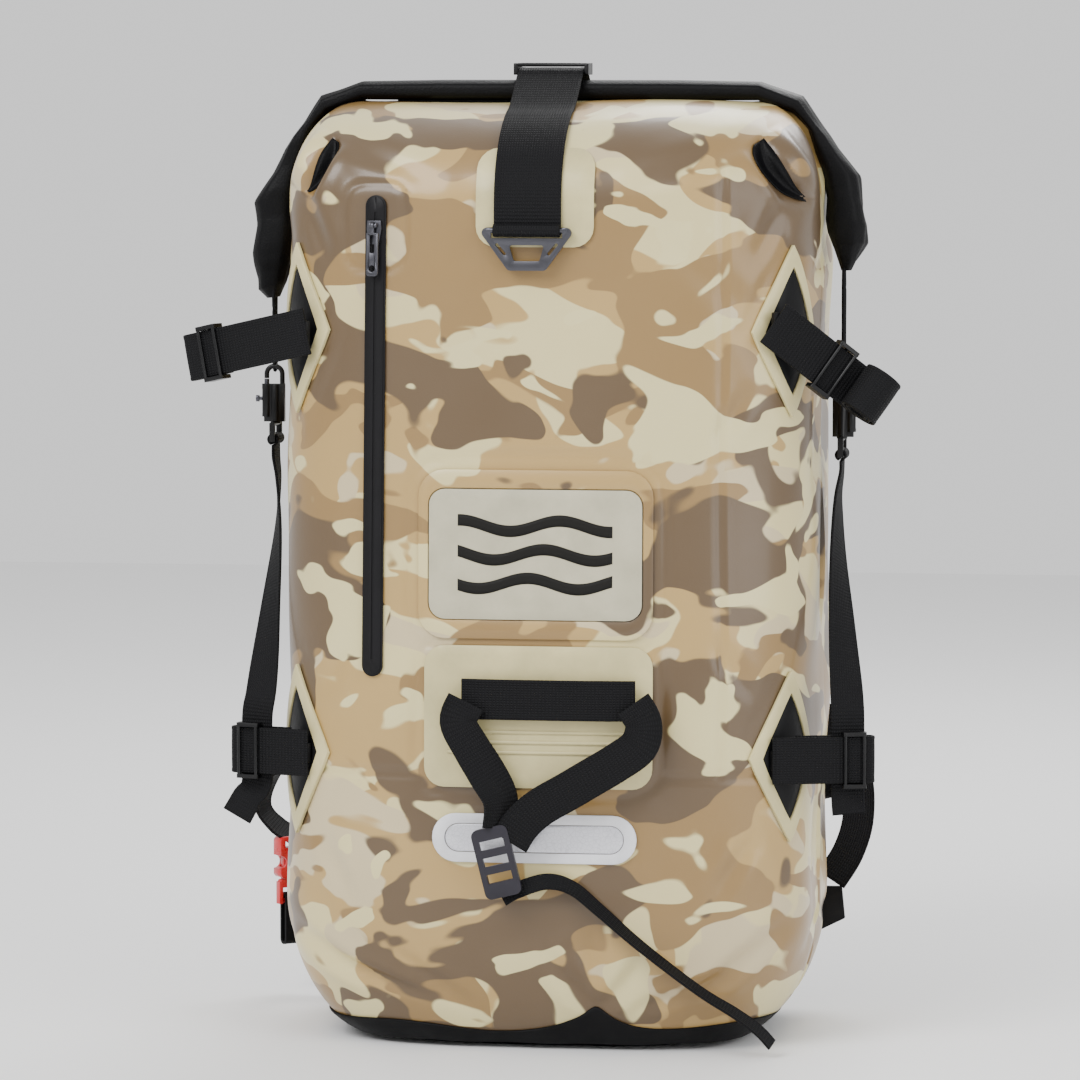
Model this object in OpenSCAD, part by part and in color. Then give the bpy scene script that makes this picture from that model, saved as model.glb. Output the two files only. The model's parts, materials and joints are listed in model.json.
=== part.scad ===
/* [Bag] */
// Width of the bag across its sides
bag_w = 320; // [312:1:324]
// How far the front face stands in front of the middle, low down
bag_front = 106; // [104:1:107]
// How far the flat back face stands behind the middle
bag_back = 100; // [99.9:0.1:100.1]
// Height of the welded top edge under the roll
bag_h = 562; // [561:0.5:562]
// Wall of the coated fabric, with its foam and welds
wall = 2; // [1.6:0.1:2.2]
// Thickness of the welded patches
patch_t = 1.4; // [1:0.1:1.4]

/* [Zip] */
// Distance of the zip from the middle of the front
zip_x = 97; // [95:1:99]
// Height of the zip's upper end
zip_top = 508; // [504:1:508]
// Length of the zip
zip_len = 285; // [270:1:290]
// Width of the zip tape
zip_w = 13; // [12:0.5:15]

/* [Webbing] */
// Thickness of all webbing
web_t = 1.8; // [1.4:0.1:1.8]
// Width of the compression straps
strap_w = 28; // [24:1:29]
// Width of the top strap
top_w = 40; // [36:1:40]
// Width of the side, shoulder and belt webbing
side_w = 20; // [18:1:20]

/* [Harness] */
// Thickness of the shoulder pads
pad_t = 12; // [9:1:12]
// Width of the shoulder pads
pad_w = 58; // [50:1:60]

/* [Hidden] */
$fn = 32;
// bag shape: an oblong section that closes at the shoulders and rounds under at the base
n_front = 3.4;
n_back = 6;
belly_z = 88;
shoulder_z = 505;
lean = 0.03;
skin_steps = 56;
shoulder_in = 40;
shoulder_front = 98;
shoulder_back = 78;
belly_in = 56;
belly_front = 30;
belly_back = 28;
floor_q = 24;
// sole, boot and mouth
sole_t = 3;
mouth_y = 13;
// clear gaps: between skins, round webbing and round moving hardware
lift = 0.5;
play = 0.3;
// number of lengths in each straight side of a patch
side_cuts = 7;
// places on the front, as centre height and half sizes
top_patch_z = 507;
plate_z = 297;
lower_z = 201;
reflector_z = 129;
strap_x = -5;
// corner patches: middle of the rounded front corner, and the heights of the two pairs
corner_t = 36;
corner_mm = 2.45;
corner_z = [428, 176];
// strap roots on the corner patches
root = [139.5, -85.5];
upper_turn = 25.6;
lower_turn = 15;
upper_gap = 3.4;
lower_gap = 6.4;
upper_z = [427, 434];
upper_slope = [12, 37];
upper_len = 92;
// the sliders on them, and the roll of spare webbing at the end of the right one
upper_slider_at = [72, 47];
coil_at = 70;
coil_r = 13.5;
lower_z_strap = 175;
lower_len = [52, 62];
slider_l = 14;
slider_bar = 1.1;
// hook on the top strap
hook_axis = [-100.6, 488];
hook_wire = 1.8;
// harness
pad_x = 60;
pad_top = [110.8, 474];
pad_splay = 8;
sternum_z = 408;
wing_hinge = [28, 113];
wing_z = 141;
// red buckle: middle of its mouth and turn about its length
red_at = [-181, 106, 74];
red_turn = 40;
// colours
black = [0.09, 0.09, 0.1];
cream = [0.82, 0.78, 0.62];
camo = [0.68, 0.6, 0.44];
metal = [0.33, 0.33, 0.36];

// ---------- the bag's skin ----------
function rise(z) = z <= shoulder_z ? 0
    : 1 - sqrt(max(0, 1 - pow((z - shoulder_z) / (bag_h - shoulder_z), 2)));
function sink(z) = z >= belly_z ? 0 : 1 - sqrt(max(0, 1 - pow((belly_z - z) / belly_z, 2)));
function half_w(z) = bag_w / 2 - shoulder_in * rise(z) - belly_in * sink(z);
function front_y(z) = -bag_front + lean * max(0, min(z, shoulder_z) - belly_z)
    + shoulder_front * rise(z) + belly_front * sink(z);
function back_y(z) = bag_back - shoulder_back * rise(z) - belly_back * sink(z);
function corner_n(t) = sin(t) < 0 ? n_front : n_back;
function reach(t) = let (n = corner_n(t))
    pow(pow(abs(cos(t)), n) + pow(abs(sin(t)), n), -1 / n);
function section(t, a, yf, yb, z) = let (s = reach(t))
    [a * cos(t) * s, (yb + yf) / 2 + (yb - yf) / 2 * sin(t) * s, z];
function skin(t, z, out) = section(t, half_w(z) + out, front_y(z) - out, back_y(z) + out, z);
function face_y(x, z) = let (a = half_w(z), q = pow(1 - pow(abs(x) / a, n_front), 1 / n_front))
    (back_y(z) + front_y(z)) / 2 - (back_y(z) - front_y(z)) / 2 * q;
function ring(a, yf, yb, z) = [for (j = [0:skin_steps - 1])
    section(j * 360 / skin_steps, a, yf, yb, z)];
// a level is [height, outward part of the normal, upward part of the normal]
function level_ring(l, out) = ring(half_w(l[0]) + out * l[1], front_y(l[0]) - out * l[1],
    back_y(l[0]) + out * l[1], l[0] + out * l[2]);
function belly_levels(q0, q1, n) = [for (i = [0:n]) let (q = q0 + (q1 - q0) * i / n)
    [belly_z * (1 - cos(q)), sin(q), -cos(q)]];
shoulder_levels = [for (q = [0:10:90])
    [shoulder_z + (bag_h - shoulder_z) * sin(q), cos(q), sin(q)]];
bag_levels = concat(belly_levels(floor_q, 90, 6), [[300, 1, 0]], shoulder_levels);

// ---------- building closed solids from grids of points ----------
function quads(m, n, start, flip) = [for (k = [0:n - 2]) for (j = [0:m - 1])
    let (a = start + k * m + j, b = start + k * m + (j + 1) % m, c = b + m, d = a + m)
    for (f = [[a, b, c], [a, c, d]]) flip ? [f[2], f[1], f[0]] : f];
function cap(m, start, flip) = [flip ? [for (j = [m - 1:-1:0]) start + j]
    : [for (j = [0:m - 1]) start + j]];
function flat(rows) = [for (r = rows) each r];

// rows of equal rings, from one end to the other, closed at both ends
module loft(rows) {
    m = len(rows[0]);
    n = len(rows);
    polyhedron(flat(rows), concat(quads(m, n, 0, true), cap(m, 0, false), cap(m, (n - 1) * m, true)),
        convexity = 6);
}

// an open tub: rings of its outside upwards, then of its inside downwards
module tub(outside, inside) {
    loft(concat(outside, [for (i = [len(inside) - 1:-1:0]) inside[i]]));
}

// ---------- welded patches ----------
// a rounded rectangle with k steps in each corner and straight sides cut into short lengths
function corner_point(w, h, r, c, q) = [c[0] * (w / 2 - r) + r * cos(q), c[1] * (h / 2 - r) + r * sin(q)];
function rounded(w, h, r, k) = let (corners = [[1, 1, 0], [-1, 1, 90], [-1, -1, 180], [1, -1, 270]])
    [for (i = [0:3]) let (c = corners[i], d = corners[(i + 1) % 4],
    a = corner_point(w, h, r, c, c[2] + 90), b = corner_point(w, h, r, d, d[2]), n = side_cuts)
    for (p = concat([for (j = [0:k]) corner_point(w, h, r, c, c[2] + 90 * j / k)],
    [for (j = [1:n - 1]) a + (b - a) * j / n])) p];
function diamond(w, h, m) = [for (j = [0:m - 1]) let (q = 360 * j / m,
    s = pow(pow(abs(cos(q)), 1.12) + pow(abs(sin(q)), 1.12), -1 / 1.12)) [w * cos(q) * s, h * sin(q) * s]];
function grow(o, k) = [for (p = o) p * k];
function between(o, i, rings) = [for (k = [0:rings]) [for (j = [0:len(o) - 1])
    i[j] + (o[j] - i[j]) * k / rings]];
function on_front(p, at, out) = [at[0] + p[0], face_y(at[0] + p[0], at[1] + p[1]) - out, at[1] + p[1]];
function on_corner(p, at, out) = skin(-corner_t + p[0] / corner_mm, at + p[1], out);

// a sheet of even thickness that follows the skin: rows go from its inner outline to its outer one,
// and the inner outline is either a hole or, when full is set, closed
module front_sheet(rows, at, low, high, full = true) {
    under = [for (r = rows) [for (p = r) on_front(p, at, low)]];
    over = [for (i = [len(rows) - 1:-1:0]) [for (p = rows[i]) on_front(p, at, high)]];
    closed_sheet(concat(under, over), full);
}

module corner_sheet(rows, at, low, high, full = true) {
    under = [for (r = rows) [for (p = r) on_corner(p, at, low)]];
    over = [for (i = [len(rows) - 1:-1:0]) [for (p = rows[i]) on_corner(p, at, high)]];
    closed_sheet(concat(under, over), full);
}

// rings that go out along the underside and back along the top
module closed_sheet(rows, full) {
    m = len(rows[0]);
    n = len(rows);
    wrapped = [for (j = [0:m - 1]) for (f = [[(j + 1) % m, (n - 1) * m + (j + 1) % m, (n - 1) * m + j],
        [j, (j + 1) % m, (n - 1) * m + j]]) f];
    ends = full ? concat(cap(m, 0, false), cap(m, (n - 1) * m, true)) : wrapped;
    polyhedron(flat(rows), concat(quads(m, n, 0, true), ends), convexity = 6);
}

// ---------- webbing ----------
function unit(v) = v / norm(v);
function curve(p, k) = concat([for (i = [0:len(p) - 2]) for (s = [0:k - 1])
    let (a = p[max(0, i - 1)], b = p[i], c = p[i + 1], d = p[min(len(p) - 1, i + 2)], u = s / k)
    0.5 * (2 * b + (c - a) * u + (2 * a - 5 * b + 4 * c - d) * u * u
    + (3 * b - a - 3 * c + d) * u * u * u)], [p[len(p) - 1]]);
function along(p, i) = unit(p[min(len(p) - 1, i + 1)] - p[max(0, i - 1)]);
function ribbon_ring(p, w, i, width, t) = let (d = along(p, i), a = unit(w[i] - (w[i] * d) * d),
    b = cross(d, a)) [p[i] + a * width / 2 + b * t / 2, p[i] - a * width / 2 + b * t / 2,
    p[i] - a * width / 2 - b * t / 2, p[i] + a * width / 2 - b * t / 2];
// a strap through points, each with the direction of its width
module ribbon(points, widths, width, t, k) {
    p = curve(points, k);
    w = curve(widths, k);
    loft([for (i = [0:len(p) - 1]) ribbon_ring(p, w, i, width, t)]);
}
// the flat outline of a bent strap seen edge on
function side_of(p, i, off) = let (d = along(p, i)) p[i] + off * [-d[1], d[0]];
module stroke(p, t) {
    polygon(concat([for (i = [0:len(p) - 1]) side_of(p, i, t / 2)],
        [for (i = [len(p) - 1:-1:0]) side_of(p, i, -t / 2)]));
}
// a strap that is bent only in one plane: its edge outline is drawn in Y and Z, its width is along X
module flat_strap(width) {
    rotate([90, 0, 90])
        linear_extrude(width, center = true)
            children();
}
// a strap end doubled back on itself: outer layer, round fold, inner layer
module folded_strap(length, back, gap) {
    r = gap / 2 + web_t;
    linear_extrude(strap_w, center = true) {
        square([length - r, web_t]);
        translate([length - r - back, web_t + gap])
            square([back, web_t]);
        translate([length - r, r])
            difference() {
                circle(r);
                circle(gap / 2);
                translate([-2 * r, -r])
                    square(2 * r);
            }
    }
}
// a three-bar slider: the strap runs behind its outer bars and over its middle bar
module strap_slider(width, length, depth) {
    rail = 2.4;
    back_bar = 1.1;
    bar_h = width + 2 * play + 0.6;
    for (s = [-1, 1]) {
        translate([0, 0, s * (width / 2 + play + rail / 2)])
            linear_extrude(rail, center = true)
                translate([-length / 2, -rail])
                    offset(1)
                        offset(-1)
                            square([length, depth + rail]);
        translate([s * (length / 2 - 1.4), -play - back_bar, 0])
            cylinder(h = bar_h, r = back_bar, center = true);
    }
    translate([0, web_t + play + slider_bar, 0])
        cylinder(h = bar_h, r = slider_bar, center = true);
}
module strap_place(side, root_z, turn, slope) {
    mirror([side < 0 ? 1 : 0, 0, 0])
        translate([root[0], root[1], root_z])
            rotate([0, 0, turn])
                rotate([0, slope, 0])
                    children();
}

// ---------- bag ----------
module main_shell() color(camo) {
    difference() {
        tub([for (l = bag_levels) level_ring(l, 0)], [for (l = bag_levels) level_ring(l, -wall)]);
        zip_place()
            cube([2.4, 20, zip_len - 24], center = true);
    }
}
// the black boot cups the lower edge of the shell
module base_boot() color(black) {
    tub([for (l = belly_levels(floor_q - 5, 35, 4)) level_ring(l, 1.6)],
        [for (l = belly_levels(floor_q - 2, 35, 3)) level_ring(l, play)]);
}
module base_sole() color(black) {
    linear_extrude(sole_t)
        polygon([for (p = ring(half_w(0), front_y(0), back_y(0), 0)) [p[0], p[1]] * 0.94]);
}
roll_mid = bag_h + 6.7;
roll_thin = 6.2;
roll_thick = 13;
roll_depth = 15;
// thin over the shoulder, thick where it hangs
function roll_half(q) = roll_thin + (roll_thick - roll_thin) * pow(cos(q), 4);
function roll_side(q) = let (n = unit([cos(q) / shoulder_in, sin(q) / (bag_h - shoulder_z)]),
    h = roll_half(q) + 0.8) [bag_w / 2 - shoulder_in * (1 - cos(q)) + n[0] * h,
    shoulder_z + (bag_h - shoulder_z) * sin(q) + n[1] * h];
// one half of the roll's middle line: [across, height, half thickness, half depth]
roll_half_line = concat([[0, roll_mid, roll_thin, roll_depth], [70, roll_mid, roll_thin, roll_depth]],
    [for (q = [90:-15:0]) let (p = roll_side(q)) [p[0], p[1], roll_half(q), roll_depth]],
    [[174, 486, roll_thick, roll_depth], [174, 470, 12, 13.5], [174, 459, 9, 10], [173, 453, 4.5, 6]]);
roll_line = concat([for (i = [len(roll_half_line) - 1:-1:1]) let (p = roll_half_line[i])
    [-p[0], p[1], p[2], p[3]]], roll_half_line);
function roll_ring(i) = let (p = roll_line[i], a = roll_line[max(0, i - 1)],
    b = roll_line[min(len(roll_line) - 1, i + 1)], d = unit([b[0] - a[0], b[1] - a[1]]))
    [for (j = [0:15]) let (q = -j * 22.5) [p[0] - d[1] * p[2] * cos(q), mouth_y + p[3] * sin(q),
    p[1] + d[0] * p[2] * cos(q)]];
module roll_collar() color(black) {
    difference() {
        union() {
            loft([for (i = [0:len(roll_line) - 1]) roll_ring(i)]);
            translate([-108, mouth_y - 3, bag_h - 16])
                cube([216, 6, 20]);
        }
        translate([-100.5, mouth_y - 1.3, bag_h - 17])
            cube([201, 2.6, roll_mid + 3 - bag_h + 17]);
    }
}
// the stiff bar that the collar is rolled round
module roll_stiffener() color("dimgray") {
    translate([-100, mouth_y - 1, bag_h - 14])
        cube([200, 2, roll_mid + 2.7 - bag_h + 14]);
}
// the pocket that the zip opens into, inside the bag
module zip_pocket() color("gray") {
    translate([-zip_x - 22, -78, zip_top - zip_len - 18])
        rotate([90, 0, 90])
            linear_extrude(96)
                offset(2)
                    offset(-2)
                        square([7, zip_len + 6]);
}
module back_sheet() color("dimgray") {
    translate([-110, bag_back - wall - 5.4, 100])
        cube([220, 2, 390]);
}

// ---------- front patches ----------
module top_patch() color(cream) {
    o = rounded(70, 58, 12, 5);
    front_sheet(between(o, grow(o, 0.03), 4), [strap_x + 4, top_patch_z], lift, lift + patch_t);
}
module plate_frame() color(camo) {
    o = rounded(140, 100, 16, 6);
    i = rounded(128, 78, 10, 6);
    front_sheet(between(o, i, 1), [0, plate_z], lift, lift + patch_t, false);
}
module name_plate() color("tan") {
    o = rounded(126.8, 76.8, 9.5, 6);
    front_sheet(between(o, grow(o, 0.03), 6), [0, plate_z], lift, lift + 1.8);
}
module lower_patch() color(cream) {
    o = rounded(136, 84, 12, 6);
    front_sheet(between(o, grow(o, 0.03), 6), [2, lower_z], lift, lift + patch_t);
}
module reflector_rim() color("whitesmoke") {
    o = rounded(122, 29, 14.4, 7);
    i = rounded(107, 17, 8.4, 7);
    front_sheet(between(o, i, 1), [0, reflector_z], lift, lift + 1.6, false);
}
module reflector_film() color("silver") {
    o = rounded(106.4, 16.4, 8.1, 7);
    front_sheet(between(o, grow(o, 0.03), 5), [0, reflector_z], lift, lift + 1);
}

// ---------- zip ----------
zip_mid = zip_top - zip_len / 2;
zip_slant = atan((face_y(zip_x + 4, zip_mid) - face_y(zip_x - 4, zip_mid)) / 8);
zip_lean = atan((face_y(zip_x, 480) - face_y(zip_x, 240)) / 240);
// X across the zip, Y into the bag, Z up along the zip, from its middle
module zip_place() {
    translate([-zip_x, face_y(zip_x, zip_mid), zip_mid])
        rotate([0, 0, -zip_slant])
            rotate([-zip_lean, 0, 0])
                children();
}
module zip_strip(w, length, low, high) {
    translate([0, -low, 0])
        rotate([90, 0, 0])
            linear_extrude(high - low)
                offset(w / 2 - 0.01)
                    square([0.02, length - w], center = true);
}
module zip_tape() color(black) {
    zip_place() {
        zip_strip(zip_w, zip_len, 0.7, 1.7);
        difference() {
            zip_strip(zip_w - 2, zip_len - 2, 1.7, 2.3);
            translate([0, -2, 0])
                cube([1.2, 1.2, zip_len - 20], center = true);
        }
    }
}
slider_z = zip_len / 2 - 22;
slider_base = 2.7;
pull_pin = [4.2, 3.9];
module zip_slider() color(metal) {
    zip_place()
        translate([0, -slider_base, slider_z])
            rotate([90, 0, 0]) {
                linear_extrude(1.6)
                    polygon([[-3, -7], [3, -7], [4.6, 2], [4.2, 7], [-4.2, 7], [-4.6, 2]]);
                for (s = [-1, 1])
                    translate([s * 1.9 - 0.6, pull_pin[0] - 1.2, 1.5])
                        cube([1.2, 2.4, 3.2]);
                translate([0, pull_pin[0], pull_pin[1]])
                    rotate([0, 90, 0])
                        cylinder(h = 5, r = 0.9, center = true);
            }
}
module zip_pull() color(metal) {
    zip_place()
        translate([0, -slider_base - pull_pin[1], slider_z + pull_pin[0]])
            rotate([90, 0, 0])
                difference() {
                    union() {
                        translate([0, 0, -1])
                            linear_extrude(2)
                                difference() {
                                    translate([0, -15])
                                        offset(2)
                                            square([3.4, 26], center = true);
                                    translate([0, -11])
                                        offset(0.8)
                                            square([1.2, 9], center = true);
                                    translate([0, -25.5])
                                        circle(1.9);
                                    translate([0, -1])
                                        square([7.6, 7], center = true);
                                }
                        rotate([0, 90, 0])
                            cylinder(h = 2.2, r = 2, center = true);
                        translate([-1.1, -5.4, -1])
                            cube([2.2, 4.4, 2]);
                    }
                    rotate([0, 90, 0])
                        cylinder(h = 10, r = 0.98, center = true);
                }
}

// ---------- corner patches and their anchors ----------
module corner_patches() color(cream) {
    o = diamond(28, 51, 32);
    i = diamond(20.5, 38, 32);
    for (z = corner_z)
        for (s = [0, 1])
            mirror([s, 0, 0])
                corner_sheet(between(o, i, 1), z, lift, lift + 2, false);
}
module corner_anchors() color(black) {
    o = diamond(19.8, 37, 32);
    for (k = [0, 1])
        for (s = [-1, 1]) {
            mirror([s < 0 ? 1 : 0, 0, 0])
                corner_sheet(between(o, grow(o, 0.04), 3), corner_z[k], lift, lift + 1.2);
            root_z = k == 1 ? lower_z_strap : upper_z[s < 0 ? 0 : 1];
            mirror([s < 0 ? 1 : 0, 0, 0])
                translate([root[0], root[1], root_z])
                    rotate([0, 0, 45])
                        translate([0.5, 0.2, -6])
                            cube([4, 3, 12]);
        }
}
module upper_strap_left() color(black)
    strap_place(-1, upper_z[0], upper_turn, upper_slope[0])
        folded_strap(upper_len, 26, upper_gap);
// the right strap's spare end is rolled up in front of it
module upper_strap_right() color(black)
    strap_place(1, upper_z[1], upper_turn, upper_slope[1])
        linear_extrude(strap_w, center = true) {
            square([coil_at, web_t]);
            translate([coil_at, web_t - coil_r])
                circle(coil_r);
        }
module lower_strap_left() color(black)
    strap_place(-1, lower_z_strap, lower_turn, 0)
        folded_strap(lower_len[0], 32, lower_gap);
module lower_strap_right() color(black)
    strap_place(1, lower_z_strap, lower_turn, 0)
        folded_strap(lower_len[1], 42, lower_gap);
module upper_slider_left() color(metal)
    strap_place(-1, upper_z[0], upper_turn, upper_slope[0])
        translate([upper_slider_at[0], 0, 0])
            strap_slider(strap_w, slider_l, 7.4);
module upper_slider_right() color(metal)
    strap_place(1, upper_z[1], upper_turn, upper_slope[1])
        translate([upper_slider_at[1], 0, 0])
            strap_slider(strap_w, slider_l, 7.4);
module lower_sliders() color(metal)
    for (s = [0, 1])
        strap_place(s == 0 ? -1 : 1, lower_z_strap, lower_turn, 0)
            translate([lower_len[s] - 13, 0, 0])
                strap_slider(strap_w, slider_l, 4.6);

// ---------- side straps and their snap hooks ----------
snap_at = [[-175, 7, 366], [171.5, 7, 360]];
snap_body = 24;
snap_r = 5.4;
snap_mid = 0.6;
snap_ring = 4.8;
snap_wire = 1.5;
module snap_place(s) {
    translate(snap_at[s])
        mirror([s == 0 ? 1 : 0, 0, 0])
            children();
}
// eye for the webbing below, barrel, and hook above with its nose on the outer side
module snap_hook(s) color(black) {
    snap_place(s) {
        difference() {
            union() {
                cylinder(h = snap_body, r = 3.2);
                translate([snap_r, 0, 4])
                    cylinder(h = snap_body - 4, r = 3);
                translate([snap_mid, 0, 12.5])
                    cube([snap_ring * 2 + 2 * snap_wire, 4.4, 23], center = true);
            }
            translate([snap_r, 0, 5])
                cylinder(h = snap_body, r = 1.6);
            translate([snap_r, -1.3, 6])
                cube([10, 2.6, 15]);
        }
        translate([snap_mid - snap_ring, 0, snap_body - 4])
            cylinder(h = 10, r = snap_wire);
        translate([snap_mid, 0, snap_body + 6])
            rotate([90, 0, 0])
                rotate_extrude(angle = 180)
                    translate([snap_ring, 0])
                        circle(snap_wire);
        translate([snap_r, 0, snap_body + 3.4])
            cylinder(h = 2.6, r = snap_wire);
        for (e = [-1, 1])
            translate([0, e * 11.5, -5])
                cube([3.4, 2.4, 11.4], center = true);
        for (z = [-9.4, 0])
            translate([0, 0, z])
                rotate([90, 0, 0])
                    cylinder(h = 24, r = 1.6, center = true);
    }
}
module snap_bolt(s) color(metal) {
    snap_place(s)
        translate([snap_r, 0, 0]) {
            translate([0, 0, 13])
                cylinder(h = snap_body + 3 - 13, r = 1.52);
            translate([0, 0, 15])
                rotate([0, 90, 0])
                    cylinder(h = 5.6, r = 1.1);
            translate([4.6, 0, 15])
                rotate([0, 90, 0])
                    cylinder(h = 2, r = 2);
        }
}
module snap_hook_left() snap_hook(0);
module snap_hook_right() snap_hook(1);
module snap_bolt_left() snap_bolt(0);
module snap_bolt_right() snap_bolt(1);
// cord loops that hang from the roll's ends and drop into the snap hooks
module end_cords() color(black) {
    for (s = [0, 1]) {
        low = snap_at[s][2] + snap_body + 6.9;
        tall = 464 - low;
        translate([snap_at[s][0] + (s == 0 ? -snap_mid : snap_mid), snap_at[s][1] + 2, low + tall / 2])
            rotate([90, 0, 90])
                linear_extrude(2.2, center = true)
                    difference() {
                        offset(4.6)
                            square([4, tall - 9.2], center = true);
                        offset(2.4)
                            square([4, tall - 9.2], center = true);
                    }
    }
}
// the webbing's upper end folds round the lower bar of the snap hook's eye
module side_strap(s, points, widths) color(black) {
    ribbon(points, widths, side_w, web_t, 4);
    translate([snap_at[s][0], snap_at[s][1], snap_at[s][2] - 9.4])
        rotate([90, 0, 0])
            difference() {
                cylinder(h = side_w, r = 3.7, center = true);
                cylinder(h = side_w + 1, r = 1.9, center = true);
            }
}
// a point inside the fold of a lower strap, along it from its root
function in_loop(s, u) = [(s == 0 ? -1 : 1) * (root[0] + u * cos(lower_turn) - loop_in * sin(lower_turn)),
    root[1] + u * sin(lower_turn) + loop_in * cos(lower_turn)];
loop_in = 6.3;
loop_left = in_loop(0, lower_len[0] - 16);
loop_right = in_loop(1, lower_len[1] - 16);
module side_strap_left()
    side_strap(0, [[-175, 7, 353.4], [-174.8, 6.6, 345], [-172.6, 1, 330], [-170, -16, 300], [-171, -40, 250],
        [loop_left[0] + 2, loop_left[1] + 4, 212], [loop_left[0], loop_left[1], 194],
        [loop_left[0], loop_left[1], 157], [loop_left[0] - 6, loop_left[1] - 2, 146],
        [loop_left[0] - 12, loop_left[1] - 4, 135]],
        [[0, 1, 0], [0, 1, 0], [-0.1, 1, 0], [-0.35, 1, 0], [-0.8, 0.8, 0], [-0.966, 0.32, 0],
        [-0.966, 0.26, 0], [-0.966, 0.26, 0], [-0.966, 0.26, 0], [-0.966, 0.2, 0]]);
module side_strap_right()
    side_strap(1, [[171.5, 7, 347.4], [171.3, 6.6, 339], [170.2, -2, 322], [172, -20, 290], [177, -44, 245],
        [loop_right[0] - 1, loop_right[1] + 4, 212], [loop_right[0], loop_right[1], 194],
        [loop_right[0], loop_right[1], 157], [loop_right[0] + 1, loop_right[1] - 1, 142]],
        [[0, 1, 0], [0, 1, 0], [0.1, 1, 0], [0.35, 1, 0], [0.8, 0.8, 0], [0.966, 0.32, 0],
        [0.966, 0.26, 0], [0.966, 0.26, 0], [0.966, 0.26, 0]]);

// ---------- top strap and hook ----------
function brow(q, off, front) = let (h = bag_h - shoulder_z, d = front ? shoulder_front : shoulder_back,
    n = unit([cos(q) / d, sin(q) / h]))
    [front ? front_y(shoulder_z) + d * (1 - cos(q)) - n[0] * off
    : bag_back - d * (1 - cos(q)) + n[0] * off, shoulder_z + h * sin(q) + n[1] * off];
top_path = concat([[hook_axis[0] + 2.9, hook_axis[1] + 2]], [brow(6, 3.6, true)],
    [for (q = [20:12:68]) brow(q, 3.6 - q / 60, true)],
    [for (q = [150:-30:30]) [mouth_y + 19 * cos(q), roll_mid + 3 + 10 * sin(q)]],
    [for (q = [62:-14:6]) brow(q, 2, false)], [[bag_back + 5.4, 501], [bag_back + 5.4, 480]]);
module top_strap() color(black) {
    translate([strap_x, 0, 0])
        flat_strap(top_w) {
            stroke(top_path, web_t);
            translate(hook_axis)
                difference() {
                    circle(hook_wire + play + web_t);
                    circle(hook_wire + play);
                }
        }
}
module top_buckle() color(black) {
    translate([strap_x, mouth_y, roll_mid + 13 + web_t / 2])
        rotate([-90, 0, 90])
            strap_slider(top_w, 20, 4.6);
}
module front_hook() color(metal) {
    translate([strap_x, hook_axis[0], hook_axis[1]]) {
        rotate([0, 90, 0])
            cylinder(h = 48, r = hook_wire, center = true);
        rotate([90, 0, 0])
            linear_extrude(3, center = true)
                difference() {
                    hull() {
                        for (s = [-1, 1]) {
                            translate([s * 23.6, -1.4])
                                circle(3);
                            translate([s * 9.5, -20.6])
                                circle(3);
                        }
                    }
                    translate([-21.2, -4.6])
                        square([42.4, 10]);
                    hull()
                        for (s = [-1, 1]) {
                            translate([s * 8.6, -10])
                                circle(1.4);
                            translate([s * 6.6, -16.6])
                                circle(1.4);
                        }
                    for (s = [-1, 1])
                        hull() {
                            translate([s * 17.6, -8.4])
                                circle(0.9);
                            translate([s * 13.2, -13.6])
                                circle(0.9);
                        }
                }
    }
}

// ---------- gear loop ----------
band_x = 9;
band_y = -112;
band_z = 212;
band_w = 24;
band_half = 51.6;
band_bow = 3;
leg_w = 22;
tail_w = 10;
// the fixed band: sewn down at both ends, bowed forward between them
module front_band() color(black) {
    bow = [for (i = [-6:6]) [band_x + i * band_half / 6, band_y + pow(abs(i) / 6, 3) * band_bow]];
    translate([0, 0, band_z - band_w / 2])
        linear_extrude(band_w)
            stroke(bow, web_t);
    for (s = [-1, 1]) {
        sewn_x = band_x + s * (band_half - 2.6);
        translate([sewn_x - 3, band_y + band_bow, band_z - 8])
            cube([6, face_y(abs(sewn_x) - 3, band_z) - lift - patch_t - play - band_y - band_bow, 16]);
    }
}
module loop_legs() color(black) {
    ribbon([[-39, -115.6, 211], [-43.5, -117, 199], [-36, -118.6, 185], [-26.5, -119.6, 170],
        [-18, -120, 154], [-18.5, -120, 137]],
        [[0.45, 0, -0.9], [0.85, -0.2, -0.5], [1, -0.1, 0.4], [0.95, 0.2, 0.5], [0.8, 0.6, 0.3],
        [0.8, 0.6, 0.1]], leg_w, web_t, 4);
    ribbon([[60, -115.6, 211], [66.5, -117.4, 200], [64, -119, 187], [51, -120.4, 177],
        [37, -121.4, 168.5], [22, -122.4, 159.5], [6, -122.6, 150], [-5, -122.6, 140], [-12, -122.4, 129]],
        [[0.4, 0, 0.9], [0.95, -0.2, 0.2], [0.95, 0, -0.3], [0.7, 0, -0.75], [0.55, 0, -0.85],
        [0.5, 0, -0.87], [0.6, 0, -0.8], [0.75, 0, -0.65], [0.85, 0, -0.5]], leg_w, web_t, 4);
}
lock_at = [-20, -121.6, 117];
module loop_lock() color(metal) {
    translate(lock_at)
        rotate([0, -14, 0])
            rotate([90, 0, 0]) {
                difference() {
                    linear_extrude(4.4, center = true)
                        offset(4)
                            square([14, 34], center = true);
                    for (z = [-9, 1, 11])
                        translate([0, z, 0])
                            cube([15, 5.4, 20], center = true);
                }
            }
}
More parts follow.
